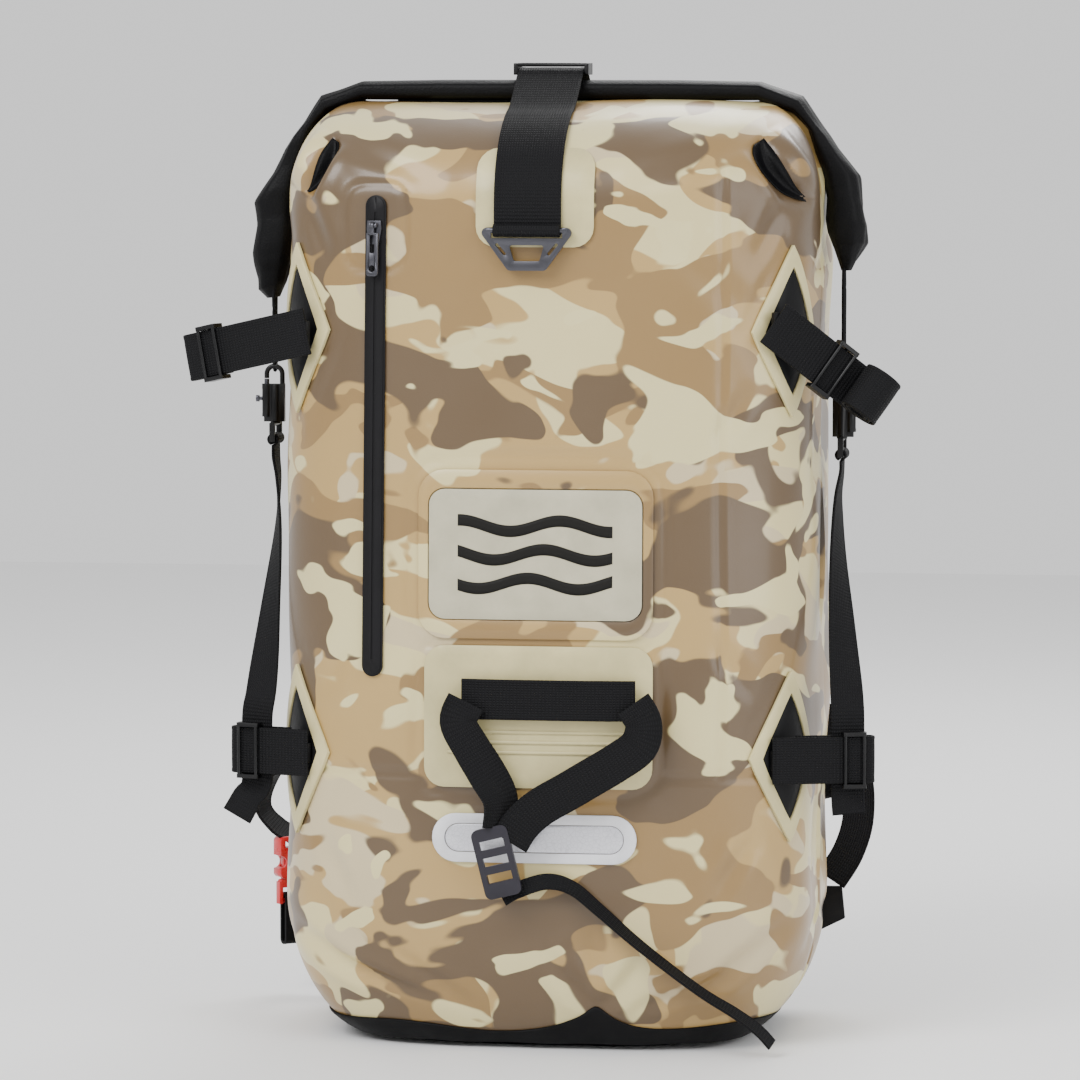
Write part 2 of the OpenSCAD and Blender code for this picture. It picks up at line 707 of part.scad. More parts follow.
module loop_tail() color(black) {
    ribbon([[-17, -119, 95], [-8, -118, 100], [9, -115, 105], [24, -113, 101], [40, -112, 88], [64, -110, 67],
        [98, -107, 41], [120, -104, 27], [133, -101, 17], [141, -99, 8]],
        [[0.3, 0.3, 1], [0.3, 0.4, 1], [0.3, 0.6, 1], [0.3, 0.9, 0.8], [0.3, 1, 0.6], [0.2, 1, 0.4],
        [0.2, 1, 0.3], [0.2, 1, 0.4], [0.2, 1, 0.5], [0.2, 1, 0.6]], tail_w, 1.6, 4);
}

// ---------- harness ----------
module soft_plate(w, h, r, y0, y1) {
    translate([0, y1, 0])
        rotate([90, 0, 0])
            linear_extrude(y1 - y0)
                offset(r)
                    square([w - 2 * r, h - 2 * r], center = true);
}
back_pad_t = 8.6;
pad_gap = 0.4;
pad_face = bag_back + pad_gap;
pad_corner = 18;
module back_pads() color("dimgray") {
    for (s = [-1, 1])
        translate([s * 58, 0, 312])
            soft_plate(84, 268, pad_corner, pad_face, pad_face + back_pad_t);
    translate([0, 0, 122])
        soft_plate(216, 76, pad_corner, pad_face, pad_face + back_pad_t);
}
module harness_yoke() color(black) {
    translate([0, 0, 476])
        soft_plate(176, 44, 8, pad_face, pad_face + 3.6);
}
handle_z = 494;
module haul_handle() color(black) {
    arch = curve([[-22, handle_z], [-21.6, 512], [-15, 529], [0, 535], [15, 529], [21.6, 512],
        [22, handle_z]], 4);
    translate([0, bag_back + 29.4, 0])
        rotate([90, 0, 0])
            linear_extrude(22)
                stroke(arch, 2.4);
}
pad_line = curve([[pad_top[0], 462], [pad_top[0] + 1, 482], [128, 502], [154, 486], [167, 452],
    [168, 420], [167, 380], [156, 330], [138, 280], [122, 240]], 3);
module pad_place(s) {
    mirror([s < 0 ? 1 : 0, 0, 0])
        translate([pad_x, 0, pad_top[1]])
            rotate([0, -pad_splay, 0])
                translate([0, 0, -pad_top[1]])
                    children();
}
module shoulder_pad(s) color("dimgray") {
    pad_place(s)
        flat_strap(pad_w)
            stroke(pad_line, pad_t);
}
module shoulder_pad_left() shoulder_pad(-1);
module shoulder_pad_right() shoulder_pad(1);
module pad_locks() color(metal) {
    for (s = [-1, 1])
        pad_place(s)
            translate([0, 119.2, 220])
                rotate([24, 0, 0])
                    difference() {
                        rotate([90, 0, 0])
                            linear_extrude(5, center = true)
                                offset(3)
                                    square([26, 20], center = true);
                        for (z = [-7, 5])
                            translate([0, 0, z])
                                cube([22, 12, 5], center = true);
                    }
}
module shoulder_webbing_right() color(black) {
    ribbon([[95, 116, 208], [108, 114.5, 203], [133, 109, 191], [158, 105.5, 172], [172, 104, 145],
        [174, 103.6, 118], [168, 103.4, 96], [157, 103.4, 78]],
        [[1, 0.1, 0.5], [0.6, 0.2, 1], [0.4, 0.3, 1], [0.7, 0.3, 0.8], [1, 0.3, 0.2], [1, 0.3, 0],
        [1, 0.2, -0.4], [1, 0, -0.6]], side_w, web_t, 4);
}
module shoulder_webbing_left() color(black) {
    ribbon([[-95, 116, 208], [-108, 114.5, 203], [-134, 108, 186], [-171, 103, 158], [-194, 103, 137],
        [-202, 104, 118], [-193, 105, 105], [-182, 106, 99]],
        [[-1, 0.1, 0.5], [-0.6, 0.2, 1], [-0.3, 0.6, 1], [0, 1, 0.6], [0.3, 1, 0.2], [0.3, 1, 0],
        [0.5, 0.9, 0], [0.77, 0.64, 0]], side_w, web_t, 4);
}
module bottom_tab_right() color(black) {
    translate([0, bag_back + 4.6, 0])
        rotate([90, 0, 0])
            linear_extrude(3, center = false)
                polygon([[100, 44], [150, 46], [166, 54], [164, 74], [150, 74], [138, 68], [104, 58]]);
}
module red_place() {
    translate(red_at)
        rotate([0, 0, red_turn])
            children();
}
// the tab's loop is long enough for the plug's bar to drop out of the socket
module bottom_tab_left() color(black) {
    red_place()
        flat_strap(side_w)
            difference() {
                translate([0, -27])
                    offset(3.6)
                        square([0.4, 26], center = true);
                translate([0, -27])
                    offset(1.8)
                        square([0.4, 26], center = true);
            }
    translate([0, bag_back + 4.6, 0])
        rotate([90, 0, 0])
            linear_extrude(3)
                polygon([[-100, 42], [-150, 28], [-174, 26], [-177, 34], [-168, 41], [-150, 45], [-104, 57]]);
}
module red_socket() color([0.84, 0.1, 0.14]) {
    red_place()
        difference() {
            rotate([90, 0, 0])
                linear_extrude(9.6, center = true)
                    difference() {
                        translate([0, 12])
                            offset(3)
                                square([22, 20], center = true);
                        translate([0, 20])
                            square([21.4, 4.2], center = true);
                        for (s = [-1, 1])
                            translate([s * 14, 9])
                                circle(4.2);
                    }
            translate([0, 0, 7])
                cube([22.6, 5.4, 18], center = true);
        }
}
module red_plug() color([0.84, 0.1, 0.14]) {
    red_place() {
        rotate([90, 0, 0])
            linear_extrude(4.6, center = true) {
                for (s = [-1, 1])
                    translate([s * 8.6, 5])
                        square([3.4, 18], center = true);
                translate([0, 4])
                    square([3, 16], center = true);
                translate([0, -4.8])
                    offset(1.6)
                        square([22, 2], center = true);
                for (s = [-1, 1])
                    translate([s * 12.4, -10.6])
                        square([2.4, 14], center = true);
            }
        translate([0, 0, -15.8])
            rotate([0, 90, 0])
                cylinder(h = 25, r = 1.4, center = true);
    }
}
sternum_y = 168 + pad_t / 2;
sternum_x = pad_x + (pad_top[1] - sternum_z) * tan(pad_splay);
module sternum_sliders() color(metal) {
    for (s = [-1, 1])
        translate([s * sternum_x, sternum_y + 3.2, sternum_z])
            soft_plate(26, 26, 3, -2.6, 0);
}
module sternum_straps() color(black) {
    for (s = [-1, 1])
        translate([0, 0, sternum_z - side_w / 2])
            linear_extrude(side_w)
                stroke([for (u = [0:4]) [s * (sternum_x + 10 - u * (sternum_x - 6) / 4),
                    sternum_y + 4.4 + 5 * sin(u * 22.5)]], web_t);
}
module sternum_buckle() color(black) {
    translate([0, sternum_y + 9.6, sternum_z]) {
        translate([-9.4, 0, 0])
            soft_plate(17, 27, 3, -4.4, 4.4);
        translate([8.6, 0, 0])
            soft_plate(18, 25, 3, -3.6, 3.6);
    }
}
module wing(s) color("dimgray") {
    mirror([s < 0 ? 1 : 0, 0, 0])
        translate([0, wing_hinge[1] + 10.5, 0])
            rotate([90, 0, 0])
                linear_extrude(10)
                    offset(6)
                        offset(-6)
                            polygon([[wing_hinge[0], wing_z - 32], [wing_hinge[0], wing_z + 32],
                                [110, wing_z + 30], [167, wing_z + 24], [167, wing_z - 14],
                                [120, wing_z - 28]]);
}
module wing_left() wing(-1);
module wing_right() wing(1);
module belt_strap(s) color(black) {
    mirror([s < 0 ? 1 : 0, 0, 0])
        translate([0, 0, wing_z - 6])
            linear_extrude(side_w)
                stroke(curve([[156, wing_hinge[1] + 11.8], [120, wing_hinge[1] + 12.6],
                    [86, wing_hinge[1] + 15.6]], 3), web_t);
}
module belt_strap_left() belt_strap(-1);
module belt_strap_right() belt_strap(1);
module belt_socket() color(black) {
    translate([-66, wing_hinge[1] + 17, wing_z + 4])
        difference() {
            soft_plate(38, 32, 4, -4.4, 4.4);
            translate([14, 0, 0])
                cube([22, 5, 24], center = true);
            translate([-13, 0, 0])
                cube([5, 12, 22], center = true);
        }
}
module belt_plug() color(black) {
    translate([66, wing_hinge[1] + 17, wing_z + 4]) {
        difference() {
            translate([8, 0, 0])
                soft_plate(24, 30, 4, -3.6, 3.6);
            translate([13, 0, 0])
                cube([5, 12, 22], center = true);
        }
        for (z = [-9, 0, 9])
            translate([-12, 0, z])
                cube([20, 4, z == 0 ? 3 : 4], center = true);
    }
}

main_shell();
base_boot();
base_sole();
roll_collar();
roll_stiffener();
zip_pocket();
back_sheet();
top_patch();
plate_frame();
name_plate();
lower_patch();
reflector_rim();
reflector_film();
zip_tape();
zip_slider();
zip_pull();
corner_patches();
corner_anchors();
upper_strap_left();
upper_strap_right();
upper_slider_left();
upper_slider_right();
lower_strap_left();
lower_strap_right();
lower_sliders();
end_cords();
snap_hook_left();
snap_hook_right();
snap_bolt_left();
snap_bolt_right();
side_strap_left();
side_strap_right();
top_strap();
top_buckle();
front_hook();
front_band();
loop_legs();
loop_lock();
loop_tail();
back_pads();
harness_yoke();
haul_handle();
shoulder_pad_left();
shoulder_pad_right();
pad_locks();
shoulder_webbing_left();
shoulder_webbing_right();
bottom_tab_left();
bottom_tab_right();
red_socket();
red_plug();
sternum_straps();
sternum_sliders();
sternum_buckle();
wing_left();
wing_right();
belt_strap_left();
belt_strap_right();
belt_socket();
belt_plug();
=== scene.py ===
import json
import math

import bpy
import numpy as np
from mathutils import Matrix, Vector

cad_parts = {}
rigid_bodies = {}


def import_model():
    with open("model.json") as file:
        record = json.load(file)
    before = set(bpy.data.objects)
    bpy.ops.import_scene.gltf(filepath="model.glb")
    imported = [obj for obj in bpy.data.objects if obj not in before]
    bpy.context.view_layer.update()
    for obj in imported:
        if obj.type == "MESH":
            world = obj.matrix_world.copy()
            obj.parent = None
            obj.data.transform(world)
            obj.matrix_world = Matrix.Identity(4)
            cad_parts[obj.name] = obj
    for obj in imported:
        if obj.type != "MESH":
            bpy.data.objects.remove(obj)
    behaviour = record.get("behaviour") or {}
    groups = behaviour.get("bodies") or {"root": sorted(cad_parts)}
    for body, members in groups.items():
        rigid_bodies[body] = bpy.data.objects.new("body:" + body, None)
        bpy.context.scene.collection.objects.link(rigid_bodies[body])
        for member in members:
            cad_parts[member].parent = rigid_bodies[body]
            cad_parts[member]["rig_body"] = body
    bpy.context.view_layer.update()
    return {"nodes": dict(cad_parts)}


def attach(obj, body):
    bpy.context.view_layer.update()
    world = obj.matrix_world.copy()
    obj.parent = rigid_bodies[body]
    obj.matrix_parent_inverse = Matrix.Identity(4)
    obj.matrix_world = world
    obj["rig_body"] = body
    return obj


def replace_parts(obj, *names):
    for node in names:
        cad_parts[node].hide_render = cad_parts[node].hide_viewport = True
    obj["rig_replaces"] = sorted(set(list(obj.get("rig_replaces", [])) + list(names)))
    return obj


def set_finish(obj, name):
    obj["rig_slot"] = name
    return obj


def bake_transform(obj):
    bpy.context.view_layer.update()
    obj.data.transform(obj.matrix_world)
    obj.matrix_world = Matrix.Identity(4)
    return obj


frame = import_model()
nodes = frame["nodes"]
MM = 0.001

# ---------- bag dimensions, in millimetres, as the CAD has them ----------
BAG_W, BAG_FRONT, BAG_BACK, BAG_H, WALL = 320, 106, 100, 562, 2
N_FRONT, N_BACK, BELLY_Z, SHOULDER_Z, LEAN = 3.4, 6, 88, 505, 0.03
SHOULDER_IN, SHOULDER_FRONT, SHOULDER_BACK = 40, 98, 78
BELLY_IN, BELLY_FRONT, BELLY_BACK, FLOOR_Q = 56, 30, 28, 24
MOUTH_Y, ROLL_MID, ROLL_THIN, ROLL_DEPTH = 13, BAG_H + 6.7, 6.2, 15
WEB_T, STRAP_W, TOP_W, SIDE_W, COIL_R, COIL_AT = 1.8, 28, 40, 20, 13.5, 70
STRAP_X, ROOT = -5, (139.5, -85.5)
HOOK_AXIS = (-100.6, 488)
PAD_TOP_Z, PAD_SPLAY, PAD_X = 474, math.radians(8), 60
WING_Y, WING_Z = 113, 141
STERNUM_Y, STERNUM_Z = 174, 408
STERNUM_X = PAD_X + (PAD_TOP_Z - STERNUM_Z) * math.tan(PAD_SPLAY)
SNAP_AT = ((-175, 7, 366), (171.5, 7, 360))


def rise(z):
    return 1 - np.sqrt(np.clip(1 - (np.maximum(z - SHOULDER_Z, 0) / (BAG_H - SHOULDER_Z)) ** 2, 0, 1))


def sink(z):
    return 1 - np.sqrt(np.clip(1 - (np.maximum(BELLY_Z - z, 0) / BELLY_Z) ** 2, 0, 1))


def half_w(z):
    return BAG_W / 2 - SHOULDER_IN * rise(z) - BELLY_IN * sink(z)


def front_y(z):
    return (-BAG_FRONT + LEAN * np.maximum(0, np.minimum(z, SHOULDER_Z) - BELLY_Z)
            + SHOULDER_FRONT * rise(z) + BELLY_FRONT * sink(z))


def back_y(z):
    return BAG_BACK - SHOULDER_BACK * rise(z) - BELLY_BACK * sink(z)


def section(t, a, yf, yb):
    """A point of the oblong section at angle t, for half width a and front and back yf and yb."""
    n = np.where(np.sin(t) < 0, N_FRONT, N_BACK)
    s = (np.abs(np.cos(t)) ** n + np.abs(np.sin(t)) ** n) ** (-1 / n)
    return a * np.cos(t) * s, (yb + yf) / 2 + (yb - yf) / 2 * np.sin(t) * s


def face_y(x, z):
    """How far forward the front of the bag is at (x, z)."""
    q = np.clip(1 - (np.abs(x) / half_w(z)) ** N_FRONT, 0, 1) ** (1 / N_FRONT)
    return (back_y(z) + front_y(z)) / 2 - (back_y(z) - front_y(z)) / 2 * q


# ---------- materials ----------
class Nodes:
    """A material's node tree, with short calls to add and join nodes."""

    def __init__(self, name):
        self.material = bpy.data.materials.new(name)
        self.material.use_nodes = True
        self.tree = self.material.node_tree
        self.shader = self.tree.nodes["Principled BSDF"]

    def add(self, kind, inputs=None, **settings):
        made = self.tree.nodes.new("ShaderNode" + kind)
        for key, value in settings.items():
            setattr(made, key, value)
        for key, value in (inputs or {}).items():
            if isinstance(value, bpy.types.NodeSocket):
                self.tree.links.new(value, made.inputs[key])
            else:
                made.inputs[key].default_value = value
        return made

    def set(self, **values):
        for key, value in values.items():
            socket = self.shader.inputs[key.replace("_", " ")]
            if isinstance(value, bpy.types.NodeSocket):
                self.tree.links.new(value, socket)
            else:
                socket.default_value = value

    def place(self, scale=(1, 1, 1), shift=(0, 0, 0)):
        at = self.add("TexCoord").outputs["Object"]
        return self.add("Mapping", {"Vector": at, "Scale": scale, "Location": shift}).outputs["Vector"]

    def noise(self, at, scale, detail=2.0, rough=0.5, distortion=0.0):
        return self.add("TexNoise", {"Vector": at, "Scale": scale, "Detail": detail,
                                     "Roughness": rough, "Distortion": distortion}).outputs["Fac"]

    def ramp(self, value, low, high, a, b, sharp=False):
        made = self.add("ValToRGB", {"Fac": value})
        made.color_ramp.interpolation = "CONSTANT" if sharp else "LINEAR"
        made.color_ramp.elements[0].position = low
        made.color_ramp.elements[0].color = a
        made.color_ramp.elements[1].position = high
        made.color_ramp.elements[1].color = b
        return made.outputs["Color"]

    def mix(self, share, a, b):
        return self.add("Mix", {0: share, 6: a, 7: b}, data_type="RGBA").outputs[2]

    def bump(self, height, depth, strength=0.5, over=None):
        inputs = {"Height": height, "Distance": depth, "Strength": strength}
        if over is not None:
            inputs["Normal"] = over
        return self.add("Bump", inputs).outputs["Normal"]


def srgb(r, g, b):
    """An 8-bit sRGB colour as the shader's linear one."""
    return tuple(((c / 255 + 0.055) / 1.055) ** 2.4 if c > 10 else c / 3294.6 for c in (r, g, b)) + (1.0,)


BLACK, WHITE = (0, 0, 0, 1), (1, 1, 1, 1)
# camouflage, from the ground colour up: colour, shift of the pattern, size, share that it covers
CAMO = ((srgb(174, 143, 86), 3.1, 12.5, 0.485), (srgb(196, 180, 142), 11.7, 13.0, 0.585),
        (srgb(138, 109, 62), 23.9, 13.5, 0.530), (srgb(86, 67, 42), 41.3, 12.5, 0.545),
        (srgb(212, 200, 146), 57.7, 16.0, 0.605))


def camo_material():
    m = Nodes("camo_coated_fabric")
    colour = srgb(210, 196, 142)
    for tone, shift, size, level in CAMO:
        at = m.place((1, 1, 1.45), (shift, shift * 0.7, shift * 1.3))
        patch = m.ramp(m.noise(at, size, 2.2, 0.5, 0.45), level - 0.004, level + 0.004, BLACK, WHITE)
        colour = m.mix(patch, colour, tone)
    stain = m.noise(m.place(), 5, 4, 0.6)
    colour = m.mix(m.ramp(stain, 0.3, 0.8, (0, 0, 0, 1), (0.2, 0.2, 0.2, 1)), colour, srgb(104, 84, 58))
    gloss = m.ramp(m.noise(m.place(), 18, 4), 0.3, 0.7, (0.34,) * 3 + (1,), (0.46,) * 3 + (1,))
    weave = m.bump(m.noise(m.place(), 900, 2), 0.0003, 0.18)
    m.set(Base_Color=colour, Roughness=gloss, Normal=m.bump(m.noise(m.place(), 24, 3), 0.003, 0.16, weave))
    m.set(Coat_Weight=0.35, Coat_Roughness=0.18)
    return m.material


def moulded(name, colour, rough, grain=420, depth=0.0003, metal=0.0, coat=0.0, shine=0.5):
    """Moulded, cast or coated stuff: a slightly uneven colour and gloss over a fine grain."""
    m = Nodes(name)
    darker = tuple(c * 0.72 for c in colour[:3]) + (1,)
    tone = m.ramp(m.noise(m.place(), 30, 5, 0.6), 0.25, 0.75, darker, colour)
    gloss = m.ramp(m.noise(m.place(), 60, 4), 0.3, 0.7, (rough * 0.85,) * 3 + (1,),
                   (rough * 1.15,) * 3 + (1,))
    m.set(Base_Color=tone, Roughness=gloss, Normal=m.bump(m.noise(m.place(), grain, 3), depth, 0.35))
    m.set(Metallic=metal, Coat_Weight=coat, Specular_IOR_Level=shine)
    return m.material


def webbing_material():
    """Ribbed polyester webbing: the rows follow the strap's own length and width, in metres."""
    m = Nodes("woven_webbing")
    at = m.add("UVMap", uv_map="strap").outputs["UV"]
    rows = m.add("TexWave", {"Vector": at, "Scale": 150.0}, bands_direction="Y").outputs["Fac"]
    yarns = m.add("TexWave", {"Vector": at, "Scale": 210.0}, bands_direction="X").outputs["Fac"]
    height = m.add("Math", {0: rows, 1: yarns}, operation="MULTIPLY").outputs[0]
    # the weave's sunken grooves get the darker tone: painted shade, following the same height as the bump
    tone = m.ramp(height, 0.0, 1.0, srgb(3, 3, 5), srgb(16, 16, 19))
    m.set(Base_Color=tone, Roughness=0.72, Normal=m.bump(height, 0.0006, 0.8))
    m.set(Specular_IOR_Level=0.2)
    return m.material


def fabric_material(name, colour, cell, depth, rough, shine=0.3):
    """Woven or spacer-mesh cloth, with its cells in the object's own space."""
    m = Nodes(name)
    cells = m.add("TexVoronoi", {"Vector": m.place(), "Scale": cell}).outputs["Distance"]
    # the sunken middles of the cells get the darker tone: painted shade in the cloth's pits, following the
    # same cells as the bump
    tone = m.ramp(cells, 0.0, 0.7, tuple(c * 0.5 for c in colour[:3]) + (1,), colour)
    folds = m.bump(m.noise(m.place(), 30, 3), 0.003, 0.25)
    m.set(Base_Color=tone, Roughness=rough, Normal=m.bump(cells, depth, 0.7, folds))
    m.set(Specular_IOR_Level=shine)
    return m.material


camo = camo_material()
webbing = webbing_material()
collar_cloth = fabric_material("collar_fabric", srgb(5, 5, 7), 900, 0.0002, 0.5, 0.14)
mesh_cloth = fabric_material("spacer_mesh", srgb(20, 20, 23), 420, 0.0012, 0.85, 0.15)
lining_cloth = fabric_material("lining", srgb(150, 146, 136), 900, 0.0002, 0.7)
boot_rubber = moulded("boot_rubber", srgb(8, 8, 10), 0.6, 600, 0.0003, shine=0.15)
cream_rubber = moulded("cream_rubber", srgb(206, 194, 142), 0.42, 700, 0.0002, coat=0.1)
plate_rubber = moulded("plate_rubber", srgb(188, 182, 156), 0.5, 800, 0.0003)
print_ink = moulded("print_ink", srgb(26, 25, 23), 0.6, 500, 0.0002, shine=0.15)
black_rubber = moulded("black_rubber", srgb(6, 6, 8), 0.5, 500, shine=0.18)
zip_rubber = moulded("zip_tape", srgb(13, 12, 15), 0.5, 700, 0.0002, shine=0.2)
white_rim = moulded("white_rim", srgb(232, 232, 236), 0.45, 500, 0.0002)
acetal = moulded("black_acetal", srgb(7, 7, 9), 0.38, 380, 0.0002, shine=0.28)
grey_acetal = moulded("grey_acetal", srgb(40, 38, 46), 0.4, 380, 0.0002, shine=0.3)
red_acetal = moulded("red_acetal", srgb(212, 26, 36), 0.3, 380, 0.0001, coat=0.3)
gunmetal = moulded("gunmetal", srgb(84, 84, 90), 0.32, 260, 0.0002, metal=0.9)


def film_material():
    """Retroreflective film: silver, with a fine diamond lattice under the surface."""
    m = Nodes("reflective_film")
    at = m.place((1, 1, 1))
    voronoi = m.add("TexVoronoi", {"Vector": at, "Scale": 420.0}, feature="DISTANCE_TO_EDGE")
    cells = voronoi.outputs["Distance"]
    tone = m.ramp(cells, 0.0, 0.1, srgb(196, 196, 202), srgb(212, 212, 218))
    m.set(Base_Color=tone, Roughness=0.28, Normal=m.bump(cells, 0.0003, 0.3))
    m.set(Metallic=0.45)
    return m.material


film = film_material()


# ---------- meshes ----------
def new_piece(name, points, faces, material, body, slot, replaces=(), uvs=None, smooth=True):
    mesh = bpy.data.meshes.new(name)
    mesh.from_pydata([tuple(p) for p in np.asarray(points, float) * MM], [], faces)
    if uvs is not None:
        layer = mesh.uv_layers.new(name="strap")
        at = np.array([uvs[loop.vertex_index] for loop in mesh.loops], np.float32)
        layer.data.foreach_set("uv", at.ravel())
    mesh.validate()
    mesh.materials.append(material)
    if smooth:
        mesh.shade_smooth()
    piece = bpy.data.objects.new(name, mesh)
    bpy.context.scene.collection.objects.link(piece)
    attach(piece, body)
    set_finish(piece, slot)
    if replaces:
        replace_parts(piece, *replaces)
    return piece


def grid_faces(rows, around, caps=True):
    """Faces of a closed tube of rings, wound to face outwards for rings that run anticlockwise."""
    faces = [(k * around + j, k * around + (j + 1) % around, (k + 1) * around + (j + 1) % around,
              (k + 1) * around + j) for k in range(rows - 1) for j in range(around)]
    if caps:
        faces.append(tuple(range(around - 1, -1, -1)))
        faces.append(tuple(range((rows - 1) * around, rows * around)))
    return faces


def curve(points, steps):
    """A smooth line through the points."""
    p = [np.array(q, float) for q in points]
    line = []
    for i in range(len(p) - 1):
        a, b, c, d = p[max(0, i - 1)], p[i], p[i + 1], p[min(len(p) - 1, i + 2)]
        for u in np.arange(steps) / steps:
            line.append(0.5 * (2 * b + (c - a) * u + (2 * a - 5 * b + 4 * c - d) * u * u
                               + (3 * b - a - 3 * c + d) * u ** 3))
    return np.array(line + [p[-1]])


def unit(v):
    return v / np.linalg.norm(v)


# a strap's section, as shares of its width and thickness: thin sides, a rib inside each edge
STRAP_HALF = ((0.5, 0.0), (0.494, 0.34), (0.47, 0.5), (0.43, 0.47), (0.41, 0.40), (0.25, 0.45), (0.0, 0.47))


def strap_section(width, thick):
    upper = list(STRAP_HALF) + [(-a, b) for a, b in STRAP_HALF[-2::-1]]
    lower = [(a, -b) for a, b in upper[-2:0:-1]]
    return [(a * width, b * thick) for a, b in upper + lower]


def strap(name, points, widths, width, body, replaces, steps=6, thick=WEB_T, material=None):
    """A strap through points, each with the direction of its width."""
    p, w = curve(points, steps), curve(widths, steps)
    shape = strap_section(width, thick)
    rings, uvs, run = [], [], 0.0
    for i, at in enumerate(p):
        d = unit(p[min(len(p) - 1, i + 1)] - p[max(0, i - 1)])
        a = unit(w[i] - np.dot(w[i], d) * d)
        b = np.cross(d, a)
        run += np.linalg.norm(at - p[i - 1]) if i else 0.0
        for across, up in shape:
            rings.append(at + a * across + b * up)
            uvs.append((across * MM, run * MM))
    faces = [f[::-1] for f in grid_faces(len(p), len(shape))]
    return new_piece(name, rings, faces, material or webbing, body, "webbing", replaces, uvs)


def strap_in_plane(name, line, across, width, body, replaces, steps=1, **more):
    """A strap whose line bends in one plane and whose width is all along across."""
    return strap(name, line, [across] * len(line), width, body, replaces, steps, **more)


def joined(name, pieces):
    """Several meshes as one piece."""
    first = pieces[0]
    points, faces, uvs = [], [], []
    for o in pieces:
        start = len(points)
        points += [tuple(v.co) for v in o.data.vertices]
        faces += [tuple(start + i for i in f.vertices) for f in o.data.polygons]
        found = {}
        if o.data.uv_layers:
            found = {loop.vertex_index: tuple(d.uv)
                     for loop, d in zip(o.data.loops, o.data.uv_layers[0].data)}
        uvs += [found.get(i, (0, 0)) for i in range(len(o.data.vertices))]
    made = new_piece(name, np.array(points) / MM, faces, first.data.materials[0], first["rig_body"],
                     first["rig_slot"], sum([list(o.get("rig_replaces", [])) for o in pieces], []), uvs)
    for o in pieces:
        bpy.data.objects.remove(o)
    return made


def tube(name, points, radius, material, body, slot, replaces=(), steps=6, sides=10, closed=False):
    """A round cord or piping along points."""
    if closed:
        p = curve(list(points[-2:]) + list(points) + list(points[:2]), steps)[2 * steps - steps:-steps - 1]
    else:
        p = curve(points, steps)
    count, rings, up = len(p), [], np.array([0.13, 0.21, 0.97])
    for i in range(count):
        after = p[(i + 1) % count] if closed else p[min(count - 1, i + 1)]
        before = p[i - 1] if closed else p[max(0, i - 1)]
        d = unit(after - before)
        side = np.cross(d, up)
        if np.linalg.norm(side) < 0.3:
            side = np.cross(d, [1, 0, 0])
        a = unit(side)
        b = np.cross(d, a)
        rings += [p[i] + radius * (a * math.cos(q) + b * math.sin(q))
                  for q in np.arange(sides) * 2 * math.pi / sides]
    faces = grid_faces(count, sides, not closed)
    if closed:
        last = (count - 1) * sides
        faces += [(last + j, last + (j + 1) % sides, (j + 1) % sides, j) for j in range(sides)]
    return new_piece(name, rings, faces, material, body, slot, replaces)


# ---------- the bag's skin with its welds, folds and creases ----------
def bump_at(distance, width):
    return np.exp(-(distance / width) ** 2)


def to_segment(x, z, a, b):
    """Distance from (x, z) to the line from a to b, and how far along it."""
    dx, dz = b[0] - a[0], b[1] - a[1]
    s = np.clip(((x - a[0]) * dx + (z - a[1]) * dz) / (dx * dx + dz * dz), 0, 1)
    return np.hypot(x - a[0] - s * dx, z - a[1] - s * dz), s


def outside_box(x, z, cx, cz, w, h):
    """Distance outside a rectangle, and below zero inside it."""
    return np.maximum(np.abs(x - cx) - w / 2, np.abs(z - cz) - h / 2)


# soft creases on the front: ends, width and depth
CREASES = (((-150, 70), (-96, 38), 5, 2.6), ((-128, 52), (-60, 30), 4, 2.2),
           ((-40, 26), (-92, 62), 5, 1.8), ((34, 26), (8, 60), 5, 2.6), ((38, 26), (66, 58), 5, 2.6),
           ((34, 24), (34, 82), 7, 2.2), ((60, 28), (112, 44), 4, 2.0), ((96, 34), (148, 78), 5, 2.6),
           ((128, 128), (108, 96), 5, 1.8), ((-130, 126), (-112, 90), 5, 1.8),
           ((-128, 470), (-146, 508), 6, 2.4), ((128, 470), (146, 508), 6, 2.4),
           ((-118, 538), (-64, 516), 6, 1.8), ((118, 538), (62, 518), 6, 1.8),
           ((124, 392), (108, 366), 5, 1.4), ((126, 214), (106, 244), 5, 1.4),
           ((-126, 216), (-116, 244), 5, 1.2), ((70, 492), (120, 440), 8, 1.3),
           ((-30, 66), (26, 74), 9, 1.2))
# the openings where the roll's ends fold down, left and right: inner end, outer end and width
EYES = {-1: ((127, 542), (145, 508), 5.0), 1: ((128, 543), (158, 503), 8.5)}
# middle, width and height of what is welded flat on the front
FLAT = ((STRAP_X + 4, 507, 74, 62), (0, 297, 144, 104), (2, 201, 140, 88), (0, 129, 126, 33),
        (-97, 365.5, 18, 292))


def eye_place(side, x, z):
    """How far along a shoulder pocket (x, z) is, from 0 to 1, and how far to its outer side."""
    (x0, z0), (x1, z1), _ = EYES[side]
    dx, dz = x1 - x0, z1 - z0
    size = math.hypot(dx, dz)
    return ((x - x0) * dx + (z - z0) * dz) / size ** 2, ((z - z0) * dx - (x - x0) * dz) / size


